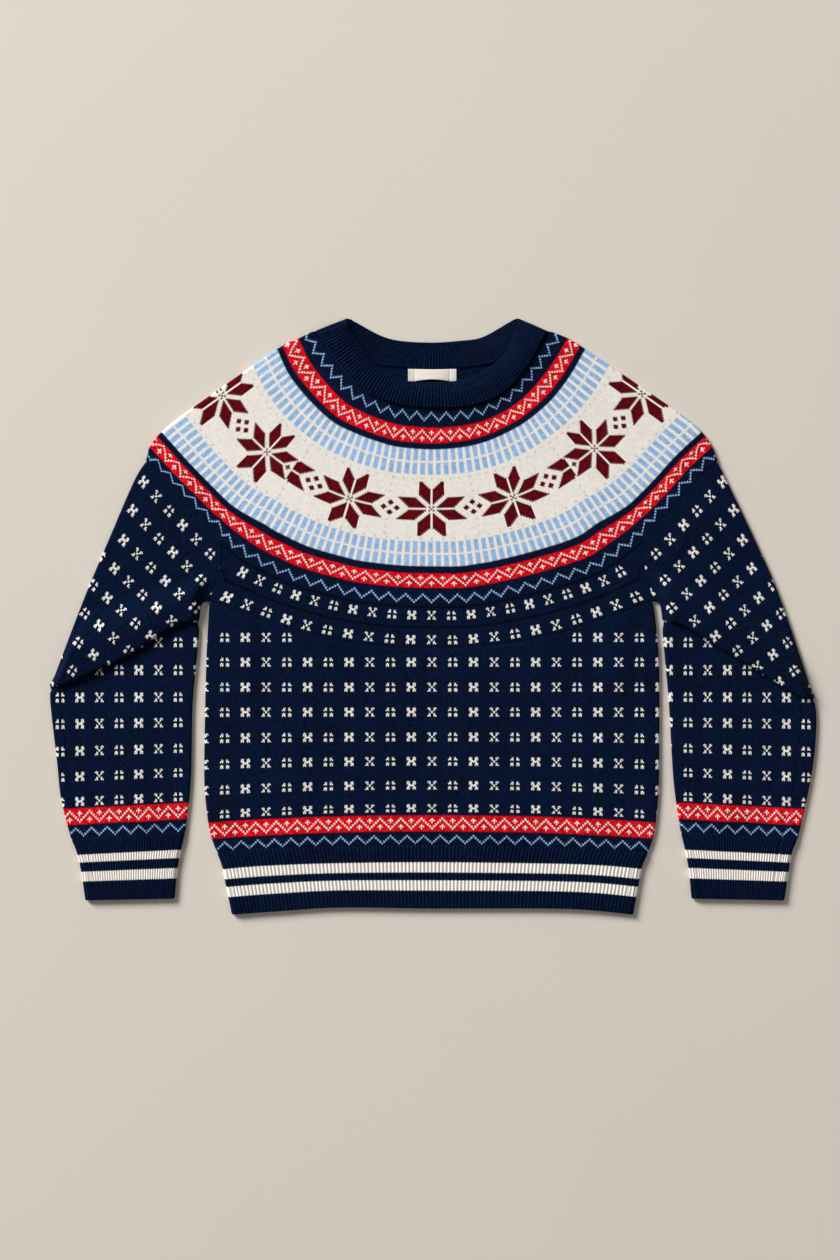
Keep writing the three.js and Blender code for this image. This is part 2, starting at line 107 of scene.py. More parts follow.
# Over this distance from a fold the soft waves reach their height
WAVES_START = 22

# Ribs across each piece, how high they stand, and the columns of faces in each
HEM_RIBS = 112
CUFF_RIBS = 40
NECK_RIBS = 84
RIB_HEIGHT = 0.75
NECK_RIB_HEIGHT = 1.0
COLUMNS_A_RIB = 6
# Welt and cuff: their height, and how their last rows thin out at the free edge
WELT_HEIGHT = 70
FREE_EDGE = (0.95, 0.78, 0.45)

# Where the label's tape lies on the back of the yoke
LABEL_HEIGHT = KNIT.thick + 0.6

# The neckband's folded edge has this share of its thickness, and its front is rounded by this much
NECK_EDGE_SHARE = 0.6
NECK_BULGE = 2.6
# Beside the neck seam the knit stands up by this much, over this distance
NECK_STANDS = 1.8
NECK_STANDS_OVER = 26

# The elbow's fold: the radius of its turns, and how much wider a part turn is
TUCK_RADIUS = 1.35
TUCK_EASE = 2
# How deep its hidden layers run, in the middle and near its ends
TUCK_DEPTH = 26
TUCK_LEAST = 1.5
# Over what distance from an end it turns right over, and then over what distance it deepens
TUCK_OPENS = 16
TUCK_DEEPENS = 30
# Where the arm above is down again past the hidden layers, and what stays clear above the fold
TUCK_SETTLES = 62
TUCK_CLEAR = 14
# Where the arm is short, its rows reach at least this share of the way to the fold
TUCK_LEAVES = 0.4
# How much the arm puffs up over them, and how much nearer to the ends it does
TUCK_PUFF = 1.6
PUFF_AHEAD = 24
# Over this distance from the yoke's seam the arm stays down
SEAM_STAYS = 34
# Rows in each of the fold's two turns, and the way that its layers run at its inner end
TUCK_STEPS = 9
INNER_SWING = (0.3, -0.95)

# Straight chords that the solids' seams are made of
YOKE_SEAM_CHORDS = 4
ARMHOLE_CHORDS = 3
BODY_CHORDS = 22

# Both fold edges of a piece, from its top down: y, then x on the left and on the right
SHOULDERS = [
    (319, -131, 127), (309, -151, 152), (297, -175, 171), (231, -270, 268), (208, -300, 297),
    (191, -315, 310), (174, -320, 317),
]
BODY_SIDES = [
    (16, -250, 246), (-16, -252, 250), (-60, -254, 253), (-161, -256, 253), (-200, -255, 252),
    (-240, -250, 248), (-264, -242, 241),
]
HEM_SIDES = [(-264, -242, 241), (-280, -236, 234), (-300, -232, 230), (-334, -225, 224)]

# Seams and edges of the body, from left to right, as (x, y)
NECK_SEAM_FRONT = [
    (-131, 319), (-118, 299), (-103, 278), (-84, 258), (-65, 246), (-38, 237), (0, 233), (37, 235),
    (65, 243), (87, 258), (105, 280), (118, 302), (127, 319),
]
NECK_SEAM_BACK = [(-131, 319), (-80, 287), (-43, 279), (-2, 277), (39, 279), (75, 287), (127, 319)]
NECK_EDGE_FRONT = [
    (-98, 331.5), (-95, 327), (-92, 319), (-78, 297), (-65, 281), (-48, 269), (-30, 263), (0, 261),
    (27, 263), (48, 270), (65, 280), (80, 293), (88, 309), (92, 320), (95, 327), (97, 331.5),
]
NECK_EDGE_BACK = [
    (-98, 331.5), (-93, 332.3), (-86, 328.5), (-59, 314), (-37, 308), (-2, 306), (30, 308), (55, 312),
    (84, 328), (92, 332.3), (97, 331.5),
]
BODY_SEAM = [
    (-250, 16), (-232, 10), (-198, -2), (-155, -17), (-115, -26), (-59, -34), (-2, -36), (56, -34),
    (109, -27), (151, -17), (195, -2), (228, 10), (246, 16),
]
HEM_SEAM = [(-242, -264), (-194, -260), (-115, -258), (-2, -256), (120, -258), (193, -260), (241, -264)]
HEM_EDGE = [(-225, -334), (-171, -330), (-104, -326), (-2, -327), (120, -327), (176, -329), (224, -334)]

# Soft waves in the front layer: x1, y1, x2, y2, width, height
WAVES = [
    (-322, 128, -275, 76, 12, 1.2), (-352, 88, -290, 46, 12, 1.5), (322, 124, 276, 78, 12, 1.2),
    (350, 84, 290, 46, 12, 1.5), (-215, 20, -205, -90, 13, 1.5), (212, 20, 203, -80, 13, 1.4),
    (-150, -90, -165, -250, 22, 1.3), (40, -60, 62, -240, 26, 1.2), (160, -110, 172, -250, 20, 1.3),
    (-330, -110, -325, -230, 15, 1.4), (335, -115, 332, -230, 15, 1.4),
]

# Finer creases that only the cloth has: x1, y1, x2, y2, width, height
CREASES = [
    (-330, 118, -262, 46, 3.2, -0.95), (-345, 92, -278, 24, 3.4, -1.1), (-362, 60, -292, 0, 3.2, -0.9),
    (-305, 140, -250, 84, 3.2, -0.8), (326, 120, 262, 50, 3.2, -0.95), (342, 94, 280, 22, 3.4, -1.1),
    (360, 62, 292, 2, 3.2, -0.9), (300, 140, 250, 86, 3.2, -0.8), (-238, -4, -226, -120, 6.0, -0.8),
    (-190, -10, -180, -110, 7.0, -0.5), (234, -2, 224, -120, 6.0, -0.8), (186, -16, 178, -120, 7.0, -0.5),
    (-104, -130, -112, -252, 9.0, -0.5), (6, -150, 10, -252, 10.0, -0.4), (112, -120, 120, -252, 9.0, -0.5),
    (-398, -118, -372, -236, 6.0, -0.7), (398, -118, 374, -236, 6.0, -0.7),
    (-300, -60, -304, -230, 7.0, -0.4), (300, -60, 304, -230, 7.0, -0.4),
]
# The forearms' sewn seams, which show as a fine furrow near their outer sides: x, y from the top down
FOREARM_SEAMS = [
    [(-415, -95), (-412, -123), (-409, -153), (-406, -181), (-391, -249), (-383, -271), (-381, -301)],
    [(412, -95), (410, -121), (407, -149), (403, -181), (385, -259), (381, -282), (379, -315)],
]
FURROW_WIDTH = 1.7
FURROW_DEPTH = 1.1


def smooth(value: Array | float, low: float, high: float) -> Array:
    """Eases from 0 at low to 1 at high.

    Args:
        value: What is eased.
        low: Where the ease starts.
        high: Where it ends.

    Returns:
        The eased share, of value's shape.
    """
    share = np.clip((np.asarray(value, float) - low) / (high - low), 0, 1)
    return share * share * (3 - 2 * share)


class Path:
    """A line in the plane, by a fraction from 0 to 1 along it."""

    def __init__(self, fractions: Array, points: Array, run: float | None = None) -> None:
        """Keeps the line's points and their fractions.

        Args:
            fractions: Rising from 0 to 1, one for each point.
            points: The points, as rows of x and y.
            run: The length that the line stands for, or None for its own.
        """
        self.fractions = np.asarray(fractions, float)
        self.points = np.asarray(points, float)
        own = np.linalg.norm(np.diff(self.points, axis=0), axis=1).sum()
        self.run = float(own if run is None else run)

    @classmethod
    def through(cls, points: Sequence[Sequence[float]], steps: int = 60) -> "Path":
        """Makes a smooth line through points.

        Args:
            points: The points, as pairs of x and y.
            steps: Straight steps between two of them.

        Returns:
            The path, by its length.
        """
        given = np.asarray(points, float)
        last = len(given) - 1
        t = (np.arange(steps) / steps)[:, None]
        parts = []
        for i in range(last):
            before, start, end, after = given[max(i - 1, 0)], given[i], given[i + 1], given[min(i + 2, last)]
            leave, arrive = (end - before) / 2, (after - start) / 2
            cubic = (2 * start - 2 * end + leave + arrive) * t**3
            square = (-3 * start + 3 * end - 2 * leave - arrive) * t**2
            parts.append(cubic + square + leave * t + start)
        line = np.vstack([*parts, given[-1:]])
        run = np.concatenate([[0], np.cumsum(np.linalg.norm(np.diff(line, axis=0), axis=1))])
        return cls(run / run[-1], line)

    @classmethod
    def side(cls, rows: Sequence[Sequence[float]], column: int) -> "Path":
        """The fold edge in one column of a table of y, left and right."""
        return cls.through([(row[column], row[0]) for row in rows])

    def at(self, fraction: Array | float) -> Array:
        """The points at these fractions.

        Args:
            fraction: Shares of the way along the line.

        Returns:
            The points, as x and y.
        """
        there = np.clip(np.asarray(fraction, float), 0, 1)
        x = np.interp(there, self.fractions, self.points[:, 0])
        y = np.interp(there, self.fractions, self.points[:, 1])
        return np.stack([x, y], axis=-1)

    def chords(self, count: int) -> "Path":
        """The same line as straight chords of even length."""
        even = np.linspace(0, 1, count + 1)
        return Path(even, self.at(even), self.run)

    def back(self) -> "Path":
        """The same line from its end to its start."""
        return Path(1 - self.fractions[::-1], self.points[::-1], self.run)

    def moved(self, distance: float) -> "Path":
        """The line moved to the left of its way by a distance.

        Args:
            distance: How far it moves.

        Returns:
            The moved line.
        """
        t = np.linspace(0, 1, 1601)
        way = self.at(t + 1e-4) - self.at(t - 1e-4)
        way /= np.linalg.norm(way, axis=1, keepdims=True)
        return Path(t, self.at(t) + distance * np.stack([-way[:, 1], way[:, 0]], axis=-1), self.run)

    @staticmethod
    def joined(*paths: "Path") -> "Path":
        """Paths end to end, as one.

        Args:
            *paths: The paths, in order.

        Returns:
            The whole path.
        """
        total = sum(path.run for path in paths)
        fractions, points, done = [], [], 0.0
        for path in paths:
            fractions.append(done + path.fractions * path.run / total)
            points.append(path.points)
            done += path.run / total
        return Path(np.concatenate(fractions), np.vstack(points), total)


def patch(top: Path, bottom: Path, left: Path, right: Path) -> Callable[[Array, float], Array]:
    """Fills the space between four edges.

    Args:
        top: The edge at v 0, along u.
        bottom: The edge at v 1.
        left: The edge at u 0. It keeps its bow between the ends of top and bottom.
        right: The edge at u 1.

    Returns:
        A function from u, an array, and v to points.
    """

    def bow(side: Path, v: float) -> Array:
        """How far a side's edge leaves the straight line between its ends."""
        return side.at(v) - (1 - v) * side.at(0.0) - v * side.at(1.0)

    def place(u: Array, v: float) -> Array:
        """The points of one row.

        Args:
            u: Places along the row.
            v: How far down the row is.

        Returns:
            The row's points.
        """
        across = np.asarray(u, float)[:, None]
        flat = (1 - v) * top.at(u) + v * bottom.at(u)
        return flat + (1 - across) * bow(left, v) + across * bow(right, v)

    return place


@dataclass
class Columns:
    """The columns of a row: their places along it, how high they stand and how far the fold is."""

    u: Array
    rise: Array
    from_fold: Array


def columns(path: Place, cloth: Cloth, across: Array, turns: Array) -> Columns:
    """Lays a row's columns: turns round the left fold, places across, turns round the right fold.

    Args:
        path: From places along the row to points.
        cloth: The cloth that is folded.
        across: Rising places from 0 to 1.
        turns: Angles round a fold, from its edge to the flat.

    Returns:
        The row's columns.
    """
    small = 1e-3
    ends = path(np.array([0, small, 1 - small, 1]))
    left_pace = np.linalg.norm(ends[1] - ends[0]) / small
    right_pace = np.linalg.norm(ends[3] - ends[2]) / small
    reach = cloth.thick / 2 + cloth.radius * (1 - np.cos(turns))
    full = cloth.thick / 2 + cloth.radius
    first, last = full / left_pace, full / right_pace
    room_left = np.maximum(0, first - across / MAKES_ROOM)
    room_right = np.maximum(0, last - (1 - across) / MAKES_ROOM)
    u = np.concatenate([reach / left_pace, across + room_left - room_right, (1 - reach / right_pace)[::-1]])
    rise = np.concatenate([np.sin(turns), np.ones_like(across), np.sin(turns)[::-1]])
    return Columns(u, rise, np.minimum(u * left_pace, (1 - u) * right_pace))


def seam_turns(cloth: Cloth, steps: int = 5) -> Array:
    """Turns from a guide column past the side seam, over the seam, to just before the flat.

    Args:
        cloth: The cloth.
        steps: Turns from the seam to the flat.

    Returns:
        The angles, rising.
    """
    seam = math.asin(SEAM_GAP / 2 / cloth.radius)
    first = (math.pi / 2 - seam) / steps
    return np.concatenate([[seam - first], seam + first * np.arange(steps)])


# Turns round a tube's fold, which has no seam
TUBE_TURNS = np.radians([0, 20, 40, 60, 77])
# The neck seam's points, to measure distances from it
NECK_LINE = Path.through(NECK_SEAM_FRONT).at(np.linspace(0, 1, 41))


def ridge(x: Array, y: Array, line: Sequence[float]) -> Array:
    """A soft ridge or trough along a straight line.

    Args:
        x: Places across.
        y: Places up.
        line: x1, y1, x2, y2, width and height.

    Returns:
        The height that it adds.
    """
    x1, y1, x2, y2, width, height = line
    along = ((x - x1) * (x2 - x1) + (y - y1) * (y2 - y1)) / ((x2 - x1) ** 2 + (y2 - y1) ** 2)
    t = np.clip(along, 0, 1)
    away = np.hypot(x - x1 - t * (x2 - x1), y - y1 - t * (y2 - y1))
    return height * np.exp(-((away / width) ** 2))


def lift(place: Array) -> Array:
    """How far the front layer stands above its flat height.

    Args:
        place: Points, with x and y first.

    Returns:
        The height at each.
    """
    x, y = place[..., 0], place[..., 1]
    from_neck = np.min(np.hypot(x[..., None] - NECK_LINE[:, 0], y[..., None] - NECK_LINE[:, 1]), axis=-1)
    height = NECK_STANDS * (1 - smooth(from_neck, 0, NECK_STANDS_OVER))
    for line in (*WAVES, *CREASES):
        height = height + ridge(x, y, line)
    for seam in FOREARM_SEAMS:
        furrows = [ridge(x, y, (*start, *end, FURROW_WIDTH, -FURROW_DEPTH))
                   for start, end in zip(seam, seam[1:])]
        height = height + np.min(furrows, axis=0)
    return height


def front_points(place: Array, row: Columns, cloth: Cloth) -> Array:
    """Points in the middle of the upper layer."""
    flat = cloth.thick / 2 + cloth.radius + cloth.radius * row.rise
    return np.column_stack([place, flat + lift(place) * smooth(row.from_fold, 0, WAVES_START)])


def back_points(place: Array, row: Columns, cloth: Cloth) -> Array:
    """Points in the middle of the lower layer."""
    return np.column_stack([place, cloth.thick / 2 + cloth.radius - cloth.radius * row.rise])


# Meshes


@dataclass
class Wall:
    """A closed wall of cloth about rows of points in its middle.

    Rows run left to right over the top and go down the piece. chart holds, for each strip between two
    rows, the knit's stitch and row counts on its upper and its lower side. Unless the wall is a ring,
    the first and last point of each row only direct their neighbours.
    """

    rows: Array
    half: Array
    chart: Array
    ring: bool = False
    outer: Array | float = 0.0
    inner: Array | float = 0.0

    def points(self) -> tuple[Array, Array]:
        """The outer and the inner side's points, in mm.

        Returns:
            The two sides, as grids of points.
        """
        rows = self.rows
        if self.ring:
            across = np.roll(rows, -1, axis=1) - np.roll(rows, 1, axis=1)
            middle = rows
        else:
            across = rows[:, 2:] - rows[:, :-2]
            middle = rows[:, 1:-1]
        down = np.empty_like(middle)
        down[1:-1] = middle[2:] - middle[:-2]
        down[0], down[-1] = middle[1] - middle[0], middle[-1] - middle[-2]
        normal = np.cross(down, across)
        normal /= np.maximum(np.linalg.norm(normal, axis=-1, keepdims=True), 1e-9)
        half = np.broadcast_to(np.asarray(self.half, float).reshape(-1, 1), middle.shape[:2])
        out = (half + self.outer)[..., None]
        into = (half + self.inner)[..., None]
        return middle + normal * out, middle - normal * into

    def mesh(self, name: str) -> bpy.types.Mesh:
        """Builds the mesh with its Knit UV map, in metres.

        Args:
            name: The mesh's name.

        Returns:
            The closed mesh.
        """
        outside, inside = self.points()
        count_down, count = outside.shape[:2]
        across = count if self.ring else count - 1
        number = np.arange(count_down * count).reshape(count_down, count)
        step = np.arange(across)
        following = (step + 1) % count
        a, b = number[:-1][:, step], number[:-1][:, following]
        c, d = number[1:][:, step], number[1:][:, following]
        upper, lower = self.chart[:, 0], self.chart[:, 1]
        after = following if not self.ring else step + 1
        ua, ub, uc, ud = upper[:, step], upper[:, after], lower[:, step], lower[:, after]
        below = count_down * count
        faces = [np.stack([a, c, d, b], -1).reshape(-1, 4),
                 np.stack([a, b, d, c], -1).reshape(-1, 4) + below]
        uvs = [np.stack([ua, uc, ud, ub], -2).reshape(-1, 4, 2),
               np.stack([ua, ub, ud, uc], -2).reshape(-1, 4, 2) + np.array([0, WRONG_SIDE])]

        def rim(p: Array, q: Array, up: Array, uq: Array) -> None:
            """Adds the faces between the two sides along one edge.

            Args:
                p: Points of the outer side.
                q: Their neighbours.
                up: Counts at p.
                uq: Counts at q.
            """
            faces.append(np.stack([q, p, p + below, q + below], -1).reshape(-1, 4))
            uvs.append(np.stack([uq, up, up, uq], -2).reshape(-1, 4, 2))

        rim(b[0], a[0], ub[0], ua[0])
        rim(c[-1], d[-1], uc[-1], ud[-1])
        if not self.ring:
            rim(a[:, 0], c[:, 0], ua[:, 0], uc[:, 0])
            rim(d[:, -1], b[:, -1], ud[:, -1], ub[:, -1])
        made = bpy.data.meshes.new(name)
        vertices = np.concatenate([outside.reshape(-1, 3), inside.reshape(-1, 3)]) * MM
        made.from_pydata(vertices.tolist(), [], np.concatenate(faces).tolist())
        layer = made.uv_layers.new(name="Knit")
        layer.data.foreach_set("uv", np.concatenate(uvs).astype(np.float32).ravel())
        made.polygons.foreach_set("use_smooth", np.ones(len(made.polygons), dtype=bool))
        made.set_sharp_from_angle(angle=math.radians(60))
        made.validate()
        return made

    def area(self) -> float:
        """The cloth's area in square metres, measured in its middle.

        Returns:
            The area.
        """
        rows = self.rows if self.ring else self.rows[:, 1:-1]
        if self.ring:
            rows = np.concatenate([rows, rows[:, :1]], axis=1)
        one = rows[1:, :-1] - rows[:-1, :-1]
        two = rows[:-1, 1:] - rows[:-1, :-1]
        three = rows[1:, 1:] - rows[1:, :-1]
        four = rows[1:, 1:] - rows[:-1, 1:]
        halves = np.linalg.norm(np.cross(one, two), axis=-1) + np.linalg.norm(np.cross(three, four), axis=-1)
        return float(halves.sum() / 2) * 1e-6


def seam_half(run: Array, cloth: Cloth, top: bool, bottom: bool) -> Array:
    """Half of a panel's thickness by row: thinner along a seam, where the edge is drawn in.

    Args:
        run: The rows' distances down the piece.
        cloth: The cloth.
        top: Whether the first row is at a seam.
        bottom: Whether the last row is.

    Returns:
        The half thickness of each row.
    """
    half = np.full(len(run), cloth.thick / 2)
    if top:
        half *= SEAM_THIN + (1 - SEAM_THIN) * smooth(run, 0, SEAM_REACH) ** 0.6
    if bottom:
        half *= SEAM_THIN + (1 - SEAM_THIN) * smooth(run[-1] - run, 0, SEAM_REACH) ** 0.6
    return half


def seam_steps(run: float, count: int, top: bool = True, bottom: bool = True) -> Array:
    """Fractions down a panel, closer together beside its seams.

    Args:
        run: The panel's height in mm.
        count: Its even rows.
        top: Whether it has a seam at its top.
        bottom: Whether it has one below.

    Returns:
        The fractions, rising.
    """
    near = np.array(SEAM_ROWS) / run
    even = np.linspace(0, 1, count)
    steps = [even]
    if top:
        steps = [even[(even == 0) | (even > SEAM_ROWS_END / run)], near]
    if bottom:
        kept = steps[0]
        steps[0] = kept[(kept == 1) | (kept < 1 - SEAM_ROWS_END / run)]
        steps.append(1 - near)
    return np.sort(np.concatenate(steps))


def simple_chart(counts: Sequence[Array]) -> Array:
    """The chart of a wall whose counts don't jump between strips.

    Args:
        counts: For each row, the stitch and row counts at its points.

    Returns:
        The counts by strip, side, column and kind.
    """
    rows = np.stack(counts)
    return np.stack([rows[:-1], rows[1:]], axis=1)


def closed(chart: Array) -> Array:
    """A ring's chart with its first column once more at its end."""
    return np.concatenate([chart, chart[:, :, :1]], axis=2)


def in_scene(name: str, data: bpy.types.ID) -> Piece:
    """A new object with this data, in the scene.

    Args:
        name: Its name.
        data: Its mesh, lamp or lens.

    Returns:
        The object.
    """
    made = bpy.data.objects.new(name, data)
    bpy.context.scene.collection.objects.link(made)
    return made


class Hold(Enum):
    """How a piece of cloth is held."""

    LAID = "laid"


def finish_piece(
    wall: Wall,
    name: str,
    node: str,
    material: Material,
    flat: tuple[float, float],
    with_pieces: Sequence[Piece] = (),
    fuzz: "Fuzz | None" = None,
) -> Piece:
    """Args:
        wall: The wall.
        name: The object's name.
        node: The solid that it stands for.
        material: Its finish.
        flat: The cut's width and length in metres; not used.
        with_pieces: Separate pieces on it; not used.
        fuzz: The loose fibres on it, if it has any.

    Returns:
        The object.
    """
    piece = in_scene(name, wall.mesh(name))
    piece.data.materials.append(material)
    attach(piece, "root")
    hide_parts(node)
    area = wall.area()
    width, length = flat
    if width * length < area:
        length = area / width * 1.001
    separate = list(with_pieces)
    if fuzz is not None:
        separate.append(fuzz.grown(f"{name}_fibres", piece.data, 2 * area, wool_fibre()))
    log.info("%s: %d faces, %.4f m2 of cloth", name, len(piece.data.polygons), area)
    return piece


# Finishes


def linear(hex_colour: str) -> tuple[float, float, float, float]:
    """An sRGB hex colour as linear red, green, blue and alpha."""
    channels = [int(hex_colour[i:i + 2], 16) / 255 for i in (1, 3, 5)]
    return (*(c / 12.92 if c <= 0.04045 else ((c + 0.055) / 1.055) ** 2.4 for c in channels), 1.0)


def add_node(
    tree: bpy.types.NodeTree,
    kind: str,
    inputs: dict | Sequence = (),
    output: int | str = 0,
    **settings: object,
) -> Socket | None:
    """Adds a node with its settings, values and links.

    Args:
        tree: The tree that it goes into.
        kind: The node's type.
        inputs: Values or sockets, in order or by the input's name or number.
        output: The output that is returned.
        **settings: The node's own properties.

    Returns:
        The output socket, or None from a node that has none.
    """
    node = tree.nodes.new(kind)
    for name, value in settings.items():
        setattr(node, name, value)
    given = inputs.items() if isinstance(inputs, dict) else enumerate(inputs)
    for key, value in given:
        if isinstance(value, Socket):
            tree.links.new(value, node.inputs[key])
        elif value is not None:
            node.inputs[key].default_value = value
    return node.outputs[output] if len(node.outputs) else None


def blank_finish(name: str) -> tuple[Material, bpy.types.NodeTree]:
    """A new material with an empty tree.

    Args:
        name: The material's name.

    Returns:
        The material and its tree.
    """
    made = bpy.data.materials.new(name)
    made.use_nodes = True
    made.node_tree.nodes.clear()
    return made, made.node_tree


@dataclass(frozen=True)
class Count:
    """A number on the cloth that the shader works out, such as a stitch's count along its row."""

    tree: bpy.types.NodeTree
    socket: Socket

    def math(self, operation: str, *others: "Count | float") -> "Count":
        """This number put through one operation with others.

        Args:
            operation: The Math node's operation.
            *others: Its other numbers.

        Returns:
            The result.
        """
        sockets = [o.socket if isinstance(o, Count) else o for o in others]
        made = add_node(self.tree, "ShaderNodeMath", [self.socket, *sockets], operation=operation)
        return Count(self.tree, made)

    def __add__(self, other: "Count | float") -> "Count":
        """The sum."""
        return self.math("ADD", other)

    def __sub__(self, other: "Count | float") -> "Count":
        """The difference."""
        return self.math("SUBTRACT", other)

    def __mul__(self, other: "Count | float") -> "Count":
        """The product: for two masks, where both hold."""
        return self.math("MULTIPLY", other)

    def __or__(self, other: "Count | float") -> "Count":
        """For two masks, where either holds."""
        return self.math("MAXIMUM", other)

    def size(self) -> "Count":
        """The number without its sign."""
        return self.math("ABSOLUTE")

    def within(self, low: float, high: float) -> "Count":
        """1 where the number is from low up to high, and 0 elsewhere."""
        middle, reach = (low + high) / 2, (high - low) / 2
        return self.math("COMPARE", middle, reach)

    def equals(self, other: "Count | float") -> "Count":
        """1 where the two whole numbers are the same."""
        return self.math("COMPARE", other, 0.4)

    def nearest(self, places: Sequence[float]) -> "Count":
        """How far the number is from the nearest of some places.

        Args:
            places: The places.

        Returns:
            The distance.
        """
        near = (self - places[0]).size()
        for place in places[1:]:
            near = near.math("MINIMUM", (self - place).size())
        return near

    def repeated(self, period: float) -> "Count":
        """The number counted again from the middle of each repeat."""
        half = period // 2
        return (self + half).math("FLOORED_MODULO", period) - half


@dataclass(frozen=True)
class Yarn:
    """A dyed wool yarn."""

    hex_colour: str
    # How little its stitches differ from each other, in their random tone and in the painted light and shade
    # of their relief: a pale yarn shows less than a dark one
    even: float = 0.0

    @property
    def colour(self) -> tuple[float, float, float, float]:
        """Its linear colour."""
        return linear(self.hex_colour)


# The ground: a blue so deep that it reads as black in the folds
NAVY = Yarn("#04132f")
# The yoke's light ring and the stripes in the ribs: undyed wool, warmer than the white
CREAM = Yarn("#fbf4ec", even=0.86)
# The stars: a red so dark that the petals look cut out of the cream
BURGUNDY = Yarn("#5f0711")
# The borders: the one strong colour, which frames the light ring
RED = Yarn("#dc0c17")
# The ticks and zigzags: cool against the cream, faint against the navy
SKY = Yarn("#9cc3ee", even=0.6)
# The small motifs: bleached wool, crisp against the navy
WHITE = Yarn("#fffbf6", even=0.8)
# Loose fibres of the navy: paler than the yarn, as light passes through single ones
FIBRE = Yarn("#33436a")
# The label's thread: dark enough to show as dots on its tape, which is a little yellower than the cream
THREAD = Yarn("#4a4038")
TAPE = Yarn("#f3ebe0")


# Stitches from the middle to the middles of the stars, of the groups of diamonds, and of the star that
# a join cuts, with the small diamond beside it
STARS = (0, 40, 88, 128)
DIAMONDS = (20, 59, 108)
CUT_STAR = 78
CUT_HEART = 74
# Rows and stitches of the joins in the cream ground
JOIN_ROWS = (36, 70)
JOIN_STITCHES = (70, 21)


